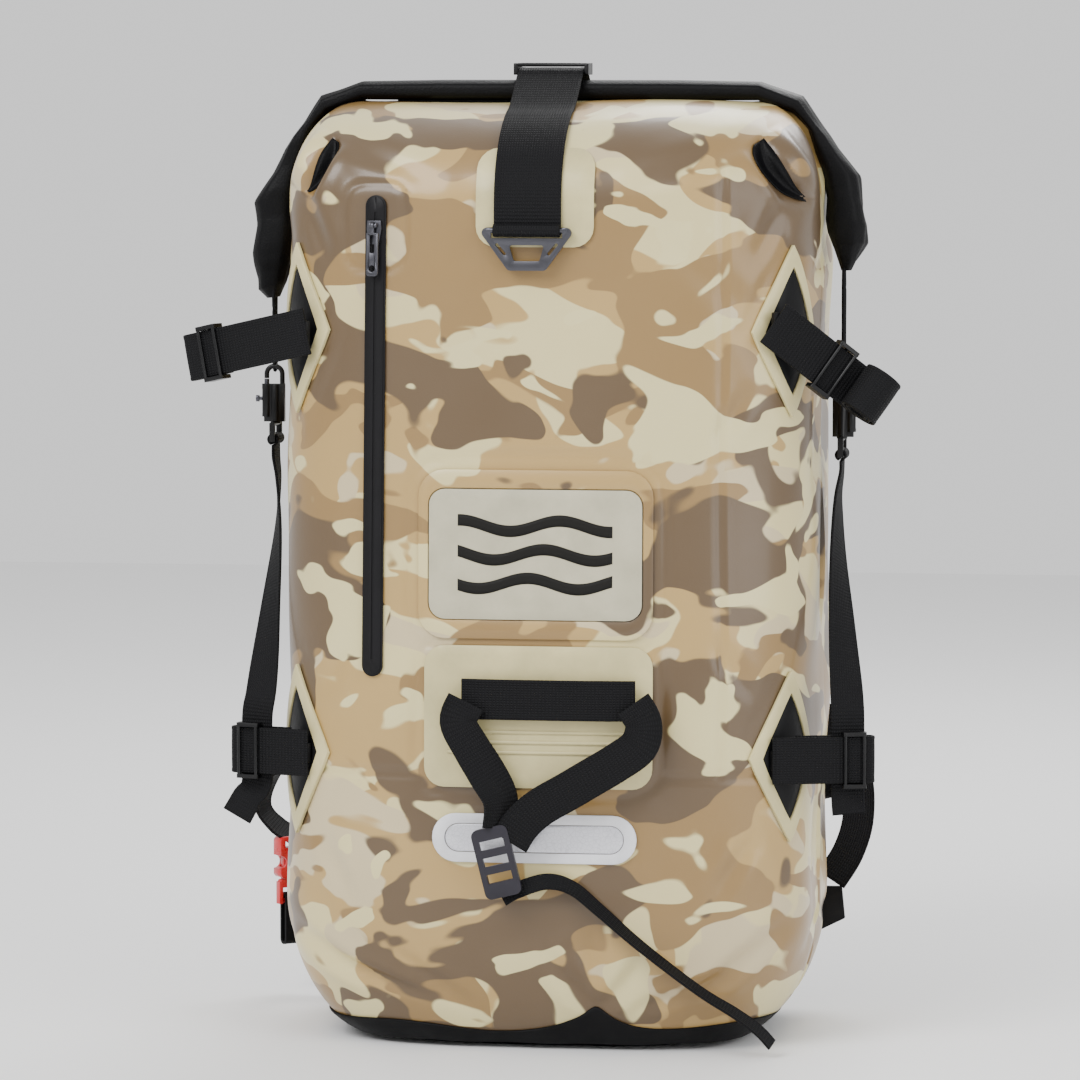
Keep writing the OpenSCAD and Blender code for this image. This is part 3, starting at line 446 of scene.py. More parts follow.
def front_shape(x, z):
    """How far the front skin stands out of its plain section, in millimetres."""
    out = 0.8 * np.sin(x / 31 + z / 47) + 0.7 * np.sin(x / 53 - z / 29 + 1.3)
    for a, b, width, depth in CREASES:
        far, s = to_segment(x, z, a, b)
        fade = np.sin(np.pi * np.clip(s * 0.94 + 0.03, 0, 1)) ** 0.6
        out -= depth * fade * bump_at(far, width)
        out += 0.45 * depth * fade * bump_at(far - 1.9 * width, width)
    flat = np.zeros_like(x)
    for cx, cz, w, h in FLAT:
        flat = np.maximum(flat, 1 - np.clip(outside_box(x, z, cx, cz, w, h) / 14, 0, 1))
    for s in (-1, 1):
        for cz in (428, 176):
            diamond = np.abs(x - s * 143) / 24 + np.abs(z - cz) / 54
            flat = np.maximum(flat, 1 - np.clip((diamond - 1) / 0.25, 0, 1))
    out *= 1 - flat
    # pressed weld lines: an outline round the plate, one round the zip's top and the long seams
    for cx, cz, w, h, power in ((0, 297, 154, 116, 6), (-97, 490, 38, 50, 4), (2, 201, 148, 96, 6)):
        edge = ((np.abs(x - cx) / (w / 2)) ** power + (np.abs(z - cz) / (h / 2)) ** power) ** (1 / power)
        out -= 1.3 * bump_at((edge - 1) * min(w, h) / 2, 1.5)
    upright = bump_at(x - 109, 1.6) * (z > 168) * (z < 524)
    level = bump_at(z - 166, 1.6) * (np.abs(x) < 148) * (outside_box(x, z, 2, 201, 148, 96) > 0)
    out -= 1.5 * upright + 1.3 * level
    out += 0.5 * bump_at(x - 112.5, 1.8) * (z > 168) * (z < 524)
    # the pockets under the roll's ends, each below a rounded lip
    for s in (-1, 1):
        along, off = eye_place(s, s * x, z)
        wide = EYES[s][2]
        fade = np.sin(np.pi * np.clip(along, 0, 1)) ** 0.6
        drop = np.where(off < 0, bump_at(off, 0.8 * wide + 2), np.clip(1 - off / 2.4, 0, 1))
        out += fade * (5.2 * bump_at(off - 8, 5) + 2.2 * bump_at(off + wide + 5, 4) - 9.5 * drop)
    return out


def side_shape(t, z):
    """The same for the sides and the back: slow waves that run down from the shoulders."""
    q = t * 57.3
    out = 1.3 * np.sin(z / 38 + q / 17) + 0.9 * np.sin(z / 21 - q / 9 + 0.7)
    out -= 2.4 * bump_at(z - 470 - 14 * np.sin(q / 14), 9) + 2.0 * bump_at(z - 62 - 9 * np.sin(q / 11), 7)
    return out


def skin_shape(t, x, z):
    front = front_only(t)
    under = np.clip((z - 9) / 20, 0, 1)
    # the back stays flat behind the harness
    back = np.clip((np.sin(t) - 0.55) / 0.2, 0, 1)
    return under * (front * front_shape(x, z) + (1 - front) * (1 - back) * side_shape(t, z))


AROUND = 448


def skin_rows(levels, out=0.0, shaped=True):
    """Rings of the skin at levels of (height, outward and upward part of its normal)."""
    t = np.arange(AROUND) * 2 * np.pi / AROUND
    rows = []
    for z, away, up in levels:
        x, y = section(t, half_w(z), front_y(z), back_y(z))
        far = out + (skin_shape(t, x, np.full_like(x, z)) if shaped else 0.0)
        x, y = section(t, half_w(z) + far * away, front_y(z) - far * away, back_y(z) + far * away)
        rows.append(np.stack([x, y, z + far * up * np.ones_like(x)], 1))
    return rows


def belly(q):
    return BELLY_Z * (1 - math.cos(q)), math.sin(q), -math.cos(q)


def shoulder(q):
    return SHOULDER_Z + (BAG_H - SHOULDER_Z) * math.sin(q), math.cos(q), math.sin(q)


def bag_levels(step):
    rad = math.radians
    low = [belly(rad(q)) for q in np.linspace(FLOOR_Q, 90, round(84 / step))]
    mid = [(z, 1.0, 0.0) for z in np.linspace(BELLY_Z, SHOULDER_Z, round(350 / step))[1:-1]]
    high = [shoulder(rad(q)) for q in np.linspace(0, 90, round(150 / step))]
    return low + mid + high


def make_shell():
    rows = skin_rows(bag_levels(2.6)) + skin_rows(bag_levels(7), -WALL)[::-1]
    return new_piece("bag_shell", np.concatenate(rows), grid_faces(len(rows), AROUND), camo, "pack",
                     "tarp", ["main_shell"])


# height of the boot's edge above its own line, in front: a peak where the base is pinched
def boot_top(x, y, base):
    front = np.clip(-y / 60, 0, 1)
    peak = 12.5 * np.exp(-np.abs((x - 34) / 15) ** 1.4)
    return base + front * (peak - 3.5 * np.exp(-((x + 20) / 70) ** 2) + 1.4 * np.sin(x / 17))


def make_boot():
    t = np.arange(AROUND) * 2 * np.pi / AROUND
    rows = []
    bottom = 4.6
    for out, order in ((1.7, range(0, 17)), (0.35, range(16, -1, -1))):
        for k in order:
            x0, y0 = section(t, half_w(17.0), front_y(17.0), back_y(17.0))
            top = boot_top(x0, y0, 16.5)
            z = bottom + (top - bottom) * k / 16
            q = np.arccos(np.clip(1 - z / BELLY_Z, -1, 1))
            raised = np.maximum(front_only(t) * front_shape(x0, z), -1.0)
            swell = out + np.where(z > 8, raised, 0) * (z - 8) / 20
            swell = swell + 0.4 * np.sin(x0 / 9 + z / 5) * (out > 1) * (k < 16)
            x, y = section(t, half_w(z) + swell * np.sin(q), front_y(z) - swell * np.sin(q),
                           back_y(z) + swell * np.sin(q))
            rows.append(np.stack([x, y, z - swell * np.cos(q) * 0.6], 1))
    return new_piece("boot", np.concatenate(rows), grid_faces(len(rows), AROUND), boot_rubber, "pack",
                     "boot", ["base_boot"])


def front_only(t):
    return np.clip((-np.sin(t) - 0.25) / 0.25, 0, 1)


def on_skin(x, z, out):
    """A point on the shaped front skin, out millimetres off it."""
    up = np.clip((z - SHOULDER_Z) / (BAG_H - SHOULDER_Z), 0, 1)
    away = math.sqrt(1 - up * up)
    mid, half = (back_y(z) + front_y(z)) / 2, (back_y(z) - front_y(z)) / 2
    t = math.atan2((face_y(x, z) - mid) / half, x / half_w(z))
    far = out + float(front_shape(np.array(float(x)), np.array(float(z))))
    px, py = section(t, half_w(z) + far * away, front_y(z) - far * away, back_y(z) + far * away)
    return float(px), float(py), z + far * up


def front_sheet(name, outline_rows, out, thick, material, slot, replaces=()):
    """A thin sheet on the bag's front: rows of (x, z), each row an open line across it."""
    rows = []
    for row in outline_rows:
        top = [(x, face_y(x, z) - out - thick, z) for x, z in row]
        under = [(x, face_y(x, z) - out, z) for x, z in row[::-1]]
        rows += top + under
    around = 2 * len(outline_rows[0])
    return new_piece(name, rows, grid_faces(len(outline_rows), around), material, "pack", slot, replaces)


def make_eyes():
    """Dark sheets at the bottom of the two pockets under the roll's ends: painted shade, standing in for
    the shade that falls in the pockets.
    """
    for s, side in ((-1, "left"), (1, "right")):
        (x0, z0), (x1, z1), wide = EYES[s]
        dx, dz = unit(np.array([x1 - x0, z1 - z0], float))
        points, stations, across = [], 34, 11
        for u in np.linspace(0.04, 0.96, stations):
            # blunt at its inner end, pointed at its outer one
            size = math.sin(math.pi * u ** 0.62) ** 0.7
            cx, cz = x0 + (x1 - x0) * u, z0 + (z1 - z0) * u
            line = [(cx - dz * off * size, cz + dx * off * size) for off in np.linspace(1.8, -wide, across)]
            points += [on_skin(s * x, z, 1.1) for x, z in line]
            points += [on_skin(s * x, z, -0.3) for x, z in line[::-1]]
        faces = grid_faces(stations, 2 * across)
        # each dark sheet is painted shade, put where the pocket only lies in shade
        new_piece("pocket_shade_" + side, points, faces if s > 0 else [f[::-1] for f in faces], collar_cloth,
                  "pack", "collar")


# the roll's ends: inner and outer edge as (across, height), and half its depth
ROLL_ENDS = {-1: (((120, 562.8), (121, 574), 15), ((141, 555.2), (146, 565), 15),
                  ((149.5, 546), (164, 540), 15), ((158, 522), (177, 518), 15),
                  ((161, 505), (187.5, 500), 15), ((161.3, 489), (188, 486), 15),
                  ((165, 466), (188, 462), 13.5), ((169, 452), (187, 447), 10),
                  ((173, 443), (181, 442), 5)),
             1: (((120, 562.8), (121, 574), 15), ((141, 555.2), (146, 565), 15),
                 ((149.5, 546), (164, 541), 15), ((158, 522), (180, 518), 15),
                 ((161, 505), (184, 500), 15), ((160.8, 492), (185.5, 488), 14.5),
                 ((162, 484), (185, 477), 13), ((167, 470), (180, 467), 9),
                 ((170, 461), (176, 461), 5))}


def roll_line():
    """Rings of the roll from its left tip to its right one: middle, way out, half thickness, half depth."""
    sides = {s: [(np.array([s * a[0], a[1]]), np.array([s * b[0], b[1]]), deep) for a, b, deep in ends]
             for s, ends in ROLL_ENDS.items()}
    flat = [(np.array([x, ROLL_MID - ROLL_THIN]), np.array([x, ROLL_MID + ROLL_THIN]), ROLL_DEPTH)
            for x in (-70, 0, 70)]
    stations = sides[-1][::-1] + flat + sides[1]
    made = []
    for (a0, b0, c0), (a1, b1, c1) in zip(stations, stations[1:]):
        for u in np.arange(9) / 9:
            a, b = a0 + (a1 - a0) * u, b0 + (b1 - b0) * u
            made.append(((a + b) / 2, unit(b - a), np.linalg.norm(b - a) / 2, c0 + (c1 - c0) * u))
    a, b, deep = stations[-1]
    return made + [((a + b) / 2, unit(b - a), np.linalg.norm(b - a) / 2, deep)]


def make_roll():
    """The rolled collar: thin over the shoulders, with creased, blunt ends."""
    line, sides, rings = roll_line(), 44, []
    for (x, z), (ox, oz), thick, deep in line:
        bend = min(1.0, max(0.0, (abs(x) - 126) / 26))
        for q in np.arange(sides) * 2 * math.pi / sides:
            c, s = math.cos(q), math.sin(q)
            # hard creases that run across the end, and softer ones along it
            flat = abs((z / 17 + 0.5 * s + 0.02 * x) % 2 - 1)
            crumple = bend * (2.0 * flat - 1.3 + 0.5 * math.sin(z / 7 - 2 * q + 0.02 * x))
            layer = 0.5 * math.exp(-((s + 0.72) / 0.12) ** 2) + 0.4 * math.exp(-((s + 0.2) / 0.1) ** 2)
            outer = thick + (crumple if c > 0 else 0.3 * crumple) - layer * (1 + bend)
            square = (abs(c) ** 3.2 + abs(s) ** 3.2) ** (-1 / 3.2)
            rings.append((x + ox * outer * c * square, MOUTH_Y + (deep + 0.7 * crumple) * s * square,
                          z + oz * outer * c * square))
    faces = grid_faces(len(line), sides)
    new_piece("rolled_collar", rings, faces, collar_cloth, "pack", "collar", ["roll_collar"])


# ---------- straps ----------
def placed(side, root_z, turn, slope, points):
    """Points from a compression strap's own place, X along it and Y out of the bag, into the bag's."""
    t, s = math.radians(turn), math.radians(slope)
    made = []
    for x, y, z in points:
        x, z = x * math.cos(s) + z * math.sin(s), -x * math.sin(s) + z * math.cos(s)
        x, y = x * math.cos(t) - y * math.sin(t), x * math.sin(t) + y * math.cos(t)
        made.append((side * (x + ROOT[0]), y + ROOT[1], z + root_z))
    return made


def coiled_strap(name, side, root_z, turn, slope, length, node):
    """A strap whose spare end is rolled up in front of it."""
    line = [(x, WEB_T / 2, 0) for x in np.linspace(0, length, 14)]
    line += [(length + far * math.sin(q), WEB_T - COIL_R + far * math.cos(q), 0)
             for q in np.linspace(0, 5.3 * math.pi, 72)[1:] for far in [COIL_R - WEB_T / 2 - q * 0.46]]
    across = placed(side, root_z, turn, slope, [(0, 0, 0), (0, 0, 1)])
    return strap_in_plane(name, placed(side, root_z, turn, slope, line),
                          np.array(across[1]) - np.array(across[0]), STRAP_W, "pack", [node])


def compression_strap(name, side, root_z, turn, slope, length, back, gap, node):
    """A strap doubled back on itself: outer layer, round fold, inner layer."""
    r, mid = gap / 2 + WEB_T, gap / 2 + WEB_T / 2
    line = [(x, WEB_T / 2, 0) for x in np.linspace(0, length - r, 14)]
    line += [(length - r + mid * math.sin(q), r - mid * math.cos(q), 0)
             for q in np.linspace(0, math.pi, 12)[1:-1]]
    line += [(x, WEB_T * 1.5 + gap, 0) for x in np.linspace(length - r, length - r - back, 7)]
    across = placed(side, root_z, turn, slope, [(0, 0, 0), (0, 0, 1)])
    return strap_in_plane(name, placed(side, root_z, turn, slope, line),
                          np.array(across[1]) - np.array(across[0]), STRAP_W, "pack", [node])


def brow(q, off, front):
    """A point over the bag's shoulder in front or behind, at angle q and height off the skin."""
    d, h = (SHOULDER_FRONT if front else SHOULDER_BACK), BAG_H - SHOULDER_Z
    c, s = math.cos(math.radians(q)), math.sin(math.radians(q))
    ny, nz = unit(np.array([c / d, s / h]))
    if front:
        return float(front_y(SHOULDER_Z)) + d * (1 - c) - ny * off, SHOULDER_Z + h * s + nz * off
    return BAG_BACK - d * (1 - c) + ny * off, SHOULDER_Z + h * s + nz * off


def make_top_strap():
    loop = 3.0
    path = [(HOOK_AXIS[0] + loop * math.cos(q), HOOK_AXIS[1] + loop * math.sin(q))
            for q in np.linspace(-5.4, 0.6, 20)]
    path += [brow(6, 3.6, True)] + [brow(q, 3.6 - q / 60, True) for q in range(20, 69, 12)]
    path += [(MOUTH_Y + 19 * math.cos(math.radians(q)), ROLL_MID + 3 + 10 * math.sin(math.radians(q)))
             for q in range(150, 29, -30)]
    path += [brow(q, 2, False) for q in range(62, 5, -14)] + [(BAG_BACK + 5.4, 501), (BAG_BACK + 5.4, 480)]
    strap_in_plane("top_webbing", [(STRAP_X, y, z) for y, z in path], (1, 0, 0), TOP_W, "pack",
                   ["top_strap"], 4)


def folded_eye(name, s, points, widths, node):
    """A side strap whose upper end folds round the snap hook's lower bar."""
    x, y, z = SNAP_AT[s]
    eye = [(x + 2.8 * math.sin(q), y, z - 9.4 + 2.8 * math.cos(q)) for q in np.linspace(-2.8, 2.8, 24)]
    loop = strap_in_plane(name + "_eye", eye, (0, 1, 0), SIDE_W, "pack", [])
    return joined(name, [strap(name + "_run", points, widths, SIDE_W, "pack", [node]), loop])


def in_loop(s, length):
    """A point inside the fold of a lower compression strap."""
    t, u, inside = math.radians(15), length - 16, 6.3
    side = -1 if s == 0 else 1
    return (side * (ROOT[0] + u * math.cos(t) - inside * math.sin(t)),
            ROOT[1] + u * math.sin(t) + inside * math.cos(t))


def make_side_straps():
    lx, ly = in_loop(0, 52)
    folded_eye("side_webbing_left", 0,
               [(-175, 7, 353.4), (-174.8, 6.6, 345), (-172.6, 1, 330), (-170, -16, 300), (-171, -40, 250),
                (lx + 2, ly + 4, 212), (lx, ly, 194), (lx, ly, 157), (lx - 6, ly - 2, 146),
                (lx - 12, ly - 4, 135)],
               [(0, 1, 0), (0, 1, 0), (-0.1, 1, 0), (-0.35, 1, 0), (-0.8, 0.8, 0), (-0.966, 0.32, 0),
                (-0.966, 0.26, 0), (-0.966, 0.26, 0), (-0.966, 0.26, 0), (-0.966, 0.2, 0)],
               "side_strap_left")
    rx, ry = in_loop(1, 62)
    folded_eye("side_webbing_right", 1,
               [(171.5, 7, 347.4), (171.3, 6.6, 339), (170.2, -2, 322), (172, -20, 290), (177, -44, 245),
                (rx - 1, ry + 4, 212), (rx, ry, 194), (rx, ry, 157), (rx + 1, ry - 1, 142)],
               [(0, 1, 0), (0, 1, 0), (0.1, 1, 0), (0.35, 1, 0), (0.8, 0.8, 0), (0.966, 0.32, 0),
                (0.966, 0.26, 0), (0.966, 0.26, 0), (0.966, 0.26, 0)],
               "side_strap_right")


TAIL = ((-17, -119, 95), (-8, -118, 100), (9, -115, 105), (24, -113, 101), (40, -112, 88), (64, -110, 67),
        (98, -107, 41), (120, -104, 27), (133, -101, 17), (141, -99, 8))
TAIL_WIDTHS = ((0.3, 0.3, 1), (0.3, 0.4, 1), (0.3, 0.6, 1), (0.3, 0.9, 0.8), (0.3, 1, 0.6), (0.2, 1, 0.4),
               (0.2, 1, 0.3), (0.2, 1, 0.4), (0.2, 1, 0.5), (0.2, 1, 0.6))
LEFT_LEG = ((-39, -115, 211), (-43.5, -117, 199), (-36, -118.6, 185), (-26.5, -119.6, 170),
            (-18, -120, 154), (-18.5, -120, 137))
LEFT_WIDTHS = ((0.45, 0, -0.9), (0.85, -0.2, -0.5), (1, -0.1, 0.4), (0.95, 0.2, 0.5), (0.8, 0.6, 0.3),
               (0.8, 0.6, 0.1))
RIGHT_LEG = ((60, -115, 211), (66.5, -117.4, 200), (64, -119, 187), (51, -120.4, 177), (37, -121.4, 168.5),
             (22, -122.4, 159.5), (6, -122.6, 150), (-5, -122.6, 140), (-12, -122.4, 129))
RIGHT_WIDTHS = ((0.4, 0, 0.9), (0.95, -0.2, 0.2), (0.95, 0, -0.3), (0.7, 0, -0.75), (0.55, 0, -0.85),
                (0.5, 0, -0.87), (0.6, 0, -0.8), (0.75, 0, -0.65), (0.85, 0, -0.5))


def make_gear_loop():
    bow = [(9 + i * 8.6, -112 + (abs(i) / 6) ** 3 * 3, 212) for i in range(-6, 7)]
    strap_in_plane("gear_band", bow, (0, 0, 1), 24, "pack", ["front_band"], 4)
    left = strap("leg_left", LEFT_LEG, LEFT_WIDTHS, 23, "gear_loop", ["loop_legs"])
    right = strap("leg_right", RIGHT_LEG, RIGHT_WIDTHS, 23, "gear_loop", [])
    joined("gear_legs", [left, right])
    tail = strap("gear_tail", TAIL, TAIL_WIDTHS, 10, "gear_loop", ["loop_tail"], 8, 1.6)


def make_shoulder_webbing():
    strap("shoulder_strap_right",
          [(95, 116, 208), (108, 114.5, 203), (133, 109, 191), (158, 105.5, 172), (172, 104, 145),
           (174, 103.6, 118), (168, 103.4, 96), (157, 103.4, 78)],
          [(1, 0.1, 0.5), (0.6, 0.2, 1), (0.4, 0.3, 1), (0.7, 0.3, 0.8), (1, 0.3, 0.2), (1, 0.3, 0),
           (1, 0.2, -0.4), (1, 0, -0.6)], SIDE_W, "pack", ["shoulder_webbing_right"])
    strap("shoulder_strap_left",
          [(-95, 116, 208), (-108, 114.5, 203), (-134, 108, 186), (-171, 103, 158), (-194, 103, 137),
           (-202, 104, 118), (-193, 105, 105), (-182, 106, 99)],
          [(-1, 0.1, 0.5), (-0.6, 0.2, 1), (-0.3, 0.6, 1), (0, 1, 0.6), (0.3, 1, 0.2), (0.3, 1, 0),
           (0.5, 0.9, 0), (0.77, 0.64, 0)], SIDE_W, "pack", ["shoulder_webbing_left"])


def make_harness_straps():
    """Haul handle, chest strap and belt webbing."""
    arch = curve([(-22, 494), (-21.6, 512), (-15, 529), (0, 535), (15, 529), (21.6, 512), (22, 494)], 6)
    strap_in_plane("haul_webbing", [(x, BAG_BACK + 18.4, z) for x, z in arch], (0, 1, 0), 22, "handle",
                   ["haul_handle"], thick=2.4)
    halves = []
    for s in (-1, 1):
        line = [(s * (STERNUM_X + 10 - u * (STERNUM_X - 6) / 8),
                 STERNUM_Y + 4.4 + 5 * math.sin(math.radians(u * 11.25)), STERNUM_Z) for u in range(9)]
        halves.append(strap_in_plane(f"chest_half_{s + 1}", line, (0, 0, 1), SIDE_W, "chest",
                                     ["sternum_straps"] if s < 0 else [], 2))
    joined("chest_webbing", halves)
    for s, side in ((-1, "left"), (1, "right")):
        line = [(s * 156, WING_Y + 11.8, WING_Z + 4), (s * 120, WING_Y + 12.6, WING_Z + 4),
                (s * 86, WING_Y + 15.6, WING_Z + 4)]
        strap_in_plane("belt_webbing_" + side, line, (0, 0, 1), SIDE_W, "hip_" + side,
                       ["belt_strap_" + side], 8)


def make_end_cords():
    """The two cord loops between the roll's ends and the snap hooks."""
    loops = []
    for s, (x, y, z) in enumerate(SNAP_AT):
        low = z + 24 + 6.9
        tall = 464 - low
        cx, cy, cz = x + (-0.6 if s == 0 else 0.6), y + 2, low + tall / 2
        ring = [(cx, cy + 5.4 * math.cos(q) * (0.55 + 0.45 * abs(math.sin(q))),
                 cz + (tall / 2 - 1.3) * math.sin(q)) for q in np.arange(14) * 2 * math.pi / 14]
        loops.append(tube(f"cord_loop_{s}", ring, 1.2, webbing, "pack", "webbing",
                          ["end_cords"] if s == 0 else [], 4, 8, True))
    joined("roll_end_cords", loops)


# ---------- pads ----------
def settle(piece):
    """Freezes a piece's modifiers into its mesh."""
    graph = bpy.context.evaluated_depsgraph_get()
    mesh = bpy.data.meshes.new_from_object(piece.evaluated_get(graph))
    piece.modifiers.clear()
    piece.data = mesh


def puffed(node, name, body, cap=0.005, rest=None):
    """A pad: the node's own shape, remeshed, shrunk a little and blown up as cloth. rest is the
    height of a flat face that it lies on, as (axis, lowest value)."""
    piece = bpy.data.objects.new(name, nodes[node].data.copy())
    bpy.context.scene.collection.objects.link(piece)
    remesh = piece.modifiers.new("remesh", "REMESH")
    remesh.mode = "VOXEL"
    remesh.voxel_size = 0.0045
    settle(piece)
    mesh = piece.data
    start = np.array([v.co + v.normal * -0.0012 for v in mesh.vertices])
    mesh.vertices.foreach_set("co", start.astype(np.float32).ravel())
    cloth = piece.modifiers.new("cloth", "CLOTH")
    cloth.settings.use_pressure = True
    cloth.settings.uniform_pressure_force = 4
    cloth.settings.effector_weights.gravity = 0
    for step in range(1, 21):
        bpy.context.scene.frame_set(step)
    settle(piece)
    mesh = piece.data
    end = np.array([v.co for v in mesh.vertices])
    move = end - start
    far = np.linalg.norm(move, axis=1, keepdims=True)
    end = start + move * np.minimum(1, cap / np.maximum(far, 1e-9))
    if rest:
        end[:, rest[0]] = np.maximum(end[:, rest[0]], rest[1])
    mesh.vertices.foreach_set("co", end.astype(np.float32).ravel())
    bpy.context.scene.frame_set(1)
    smooth = piece.modifiers.new("smooth", "SMOOTH")
    smooth.iterations = 3
    finer = piece.modifiers.new("finer", "SUBSURF")
    finer.levels = finer.render_levels = 1
    settle(piece)
    piece.data.materials.clear()
    piece.data.materials.append(mesh_cloth)
    piece.data.shade_smooth()
    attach(piece, body)
    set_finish(piece, "foam")
    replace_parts(piece, node)
    return piece


PAD_LINE = ((110.8, 462), (111.8, 482), (128, 502), (154, 486), (167, 452), (168, 420), (167, 380),
            (156, 330), (138, 280), (122, 240))


def pad_point(s, x, y, z):
    """A point of a shoulder pad's own place, x across it, in the bag's."""
    c, k = math.cos(PAD_SPLAY), math.sin(PAD_SPLAY)
    z = z - PAD_TOP_Z
    return s * (PAD_X + x * c - z * k), y, PAD_TOP_Z + x * k + z * c


def pad_own(s, points):
    """The bag's points in a shoulder pad's own place."""
    c, k = math.cos(PAD_SPLAY), math.sin(PAD_SPLAY)
    x, z = s * points[:, 0] - PAD_X, points[:, 2] - PAD_TOP_Z
    return np.stack([x * c + z * k, points[:, 1], PAD_TOP_Z - x * k + z * c], 1)


def make_pads():
    line = curve(PAD_LINE, 4)
    for s, side in ((-1, "left"), (1, "right")):
        cushion = puffed("shoulder_pad_" + side, "shoulder_cushion_" + side, "pack", 0.003)
        puffed("wing_" + side, "hip_cushion_" + side, "hip_" + side, 0.0025)
        own = pad_own(s, np.array([v.co for v in cushion.data.vertices]) / MM)
        for sign, tag in ((-1, "inner"), (1, "outer")):
            edge = []
            for y, z in line[2:-1:2]:
                near = own[np.hypot(own[:, 1] - y, own[:, 2] - z) < 5]
                if len(near):
                    edge.append(pad_point(s, sign * (np.max(sign * near[:, 0]) - 0.5), y, z))
            tube(f"pad_binding_{side}_{tag}", edge, 1.9, collar_cloth, "pack", "webbing", (), 3, 8)
        # a strip of webbing down the pad's outer face, sewn down at both ends
        strip = []
        for i in range(16, len(line) - 3, 2):
            d = unit(line[i + 1] - line[i - 1])
            normal = np.array([-d[1], d[0]]) * (1 if -d[1] > 0 else -1)
            far = np.hypot(own[:, 1] - line[i][0], own[:, 2] - line[i][1])
            near = own[(far < 11) & (np.abs(own[:, 0]) < 9)]
            high = np.max((near[:, 1:] - line[i]) @ normal) + WEB_T / 2 + 0.1
            strip.append(tuple(line[i] + normal * high))
        strip = [strip[0]] + strip + [strip[-1]]
        for end, inner in ((0, 1), (-1, -2)):
            strip[end] = (strip[inner][0] - 4.5, strip[inner][1] + (2.5 if end == 0 else -2.5))
        across = np.array(pad_point(s, 1, 0, 0)) - np.array(pad_point(s, 0, 0, 0))
        places = [pad_point(s, 0, y, z) for y, z in strip]
        strap_in_plane("pad_strip_" + side, places, across, SIDE_W, "pack", [], 4)
    puffed("back_pads", "back_cushions", "pack", 0.003, (1, (BAG_BACK + 0.4) * MM))


# ---------- CAD pieces that keep their shape ----------
def dress(node, material, bevel=0.35):
    """Gives a CAD node its material, with its edges eased."""
    piece = nodes[node]
    piece.data.materials.clear()
    piece.data.materials.append(material)
    piece.data.shade_smooth()
    weld = piece.modifiers.new("weld", "WELD")
    weld.merge_threshold = 0.00002
    if bevel:
        eased = piece.modifiers.new("eased", "BEVEL")
        eased.width = bevel * MM
        eased.segments = 2
        eased.limit_method = "ANGLE"
        eased.angle_limit = math.radians(38)
        eased.harden_normals = True


def make_release_tab():
    """The red buckle's tab, which is fast to the bag at its inner end and holds the plug at its loop: the
    node's own shape, in webbing.
    """
    node = nodes["bottom_tab_left"]
    mesh = node.data.copy()
    mesh.transform(node.matrix_world)
    mesh.materials.clear()
    mesh.materials.append(webbing)
    piece = bpy.data.objects.new("release_tab", mesh)
    bpy.context.scene.collection.objects.link(piece)
    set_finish(piece, "webbing")
    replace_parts(piece, "bottom_tab_left")
    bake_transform(piece)


DRESSED = {
    boot_rubber: ("base_sole",), lining_cloth: ("zip_pocket",), camo: ("plate_frame",),
    cream_rubber: ("top_patch", "lower_patch", "corner_patches"), plate_rubber: ("name_plate",),
    white_rim: ("reflector_rim",), film: ("reflector_film",), zip_rubber: ("zip_tape",),
    black_rubber: ("corner_anchors", "bottom_tab_right", "harness_yoke"),
    gunmetal: ("zip_slider", "zip_pull", "front_hook", "snap_bolt_left", "snap_bolt_right"),
    grey_acetal: ("loop_lock",), red_acetal: ("red_socket", "red_plug"),
    acetal: ("upper_slider_left", "upper_slider_right", "lower_sliders", "snap_hook_left",
             "snap_hook_right", "top_buckle", "pad_locks", "sternum_sliders", "sternum_buckle",
             "belt_socket", "belt_plug", "roll_stiffener", "back_sheet"),
}


def make_front_details():
    # plain wave stripes in place of a printed mark
    stripes = []
    for k in range(3):
        x = np.linspace(-46, 46, 60)
        z = 297 + 17 - 17 * k + 3.2 * np.sin(x / 9.5 + k)
        rows = [[(float(a), float(b) + v) for v in (3.4, 1.1, -1.1, -3.4)] for a, b in zip(x, z)]
        stripes.append(front_sheet(f"stripe_{k}", rows, 2.25, 0.25, print_ink, "plate"))
    joined("plate_stripes", stripes)
    # moulded ribs across the lower patch
    for k, z in enumerate((192, 186, 180)):
        rows = [[(float(x), z + v) for v in (1.0, 0.0, -1.0)] for x in np.linspace(-52, 56, 40)]
        front_sheet(f"patch_rib_{k}", rows, 1.8, 0.8, cream_rubber, "patch")


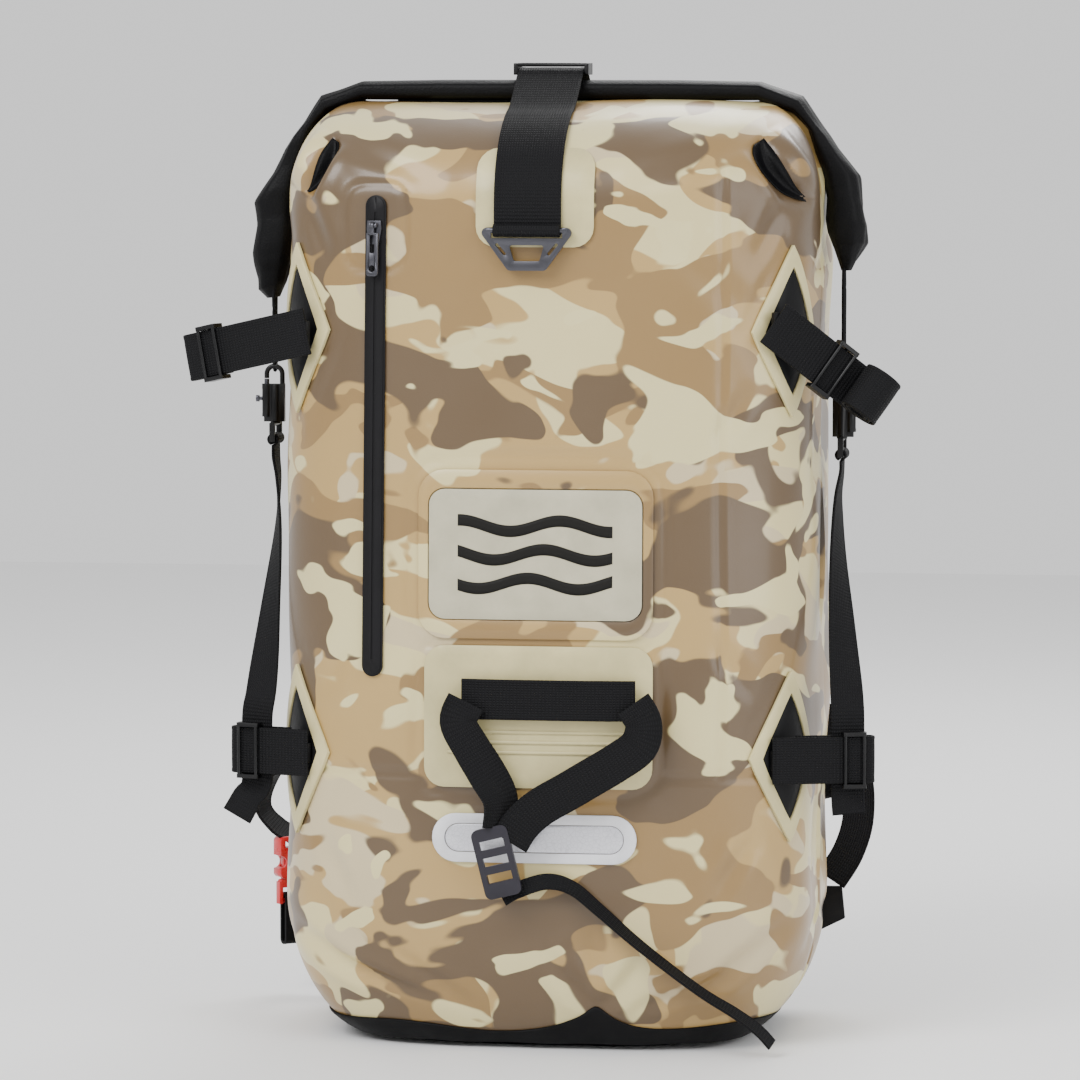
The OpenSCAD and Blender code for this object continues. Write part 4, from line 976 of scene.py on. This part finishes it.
def make_stage():
    size = 6.0
    mesh = bpy.data.meshes.new("floor")
    rows = [(-size, 3.0, 0.0), (size, 3.0, 0.0), (size, -size, 0.0), (-size, -size, 0.0)]
    mesh.from_pydata(rows, [], [(3, 2, 1, 0)])
    floor = bpy.data.objects.new("floor", mesh)
    m = Nodes("pale_floor")
    m.set(Base_Color=(0.86, 0.86, 0.86, 1), Roughness=0.6)
    mesh.materials.append(m.material)
    bpy.context.scene.collection.objects.link(floor)
    world = bpy.data.worlds.new("studio")
    world.use_nodes = True
    world.node_tree.nodes["Background"].inputs["Color"].default_value = (1, 1, 1, 1)
    world.node_tree.nodes["Background"].inputs["Strength"].default_value = 1.0
    bpy.context.scene.world = world
    for name, at, size, power in (("key", (-0.9, -1.5, 1.7), 1.2, 44), ("fill", (1.5, -1.2, 0.9), 1.4, 18),
                                  ("rim", (0.3, 1.4, 1.6), 1.0, 24)):
        light = bpy.data.lights.new(name, "AREA")
        light.energy, light.size = power, size
        lamp = bpy.data.objects.new(name, light)
        lamp.location = at
        lamp.rotation_euler = (Vector((0, 0, 0.3)) - Vector(at)).to_track_quat("-Z", "Y").to_euler()
        bpy.context.scene.collection.objects.link(lamp)


AZIMUTH, ELEVATION, VIEW_WIDTH, LENS = math.radians(8), math.radians(5), 0.640, 200
AIM = Vector((0.0, -0.08, 0.304))


def make_camera():
    data = bpy.data.cameras.new("camera")
    data.lens, data.sensor_width = LENS, 36
    far = VIEW_WIDTH / 2 / (data.sensor_width / 2 / LENS)
    back = Vector((math.sin(AZIMUTH) * math.cos(ELEVATION), -math.cos(AZIMUTH) * math.cos(ELEVATION),
                   math.sin(ELEVATION)))
    camera = bpy.data.objects.new("camera", data)
    camera.location = AIM + back * far
    camera.rotation_euler = (-back).to_track_quat("-Z", "Y").to_euler()
    bpy.context.scene.collection.objects.link(camera)
    bpy.context.scene.camera = camera


make_camera()
make_gear_loop()
make_stage()
make_shell()
make_boot()
make_eyes()
make_roll()
for name, side, z, turn, slope, length, back, gap, node in (
        ("upper_webbing_left", -1, 427, 25.6, 12, 92, 26, 3.4, "upper_strap_left"),
        ("lower_webbing_left", -1, 175, 15, 0, 52, 32, 6.4, "lower_strap_left"),
        ("lower_webbing_right", 1, 175, 15, 0, 62, 42, 6.4, "lower_strap_right")):
    compression_strap(name, side, z, turn, slope, length, back, gap, node)
coiled_strap("upper_webbing_right", 1, 434, 25.6, 37, COIL_AT, "upper_strap_right")
make_top_strap()
make_side_straps()
make_shoulder_webbing()
make_harness_straps()
make_end_cords()
make_pads()
make_front_details()
make_release_tab()
for material, names in DRESSED.items():
    for node in names:
        dress(node, material)
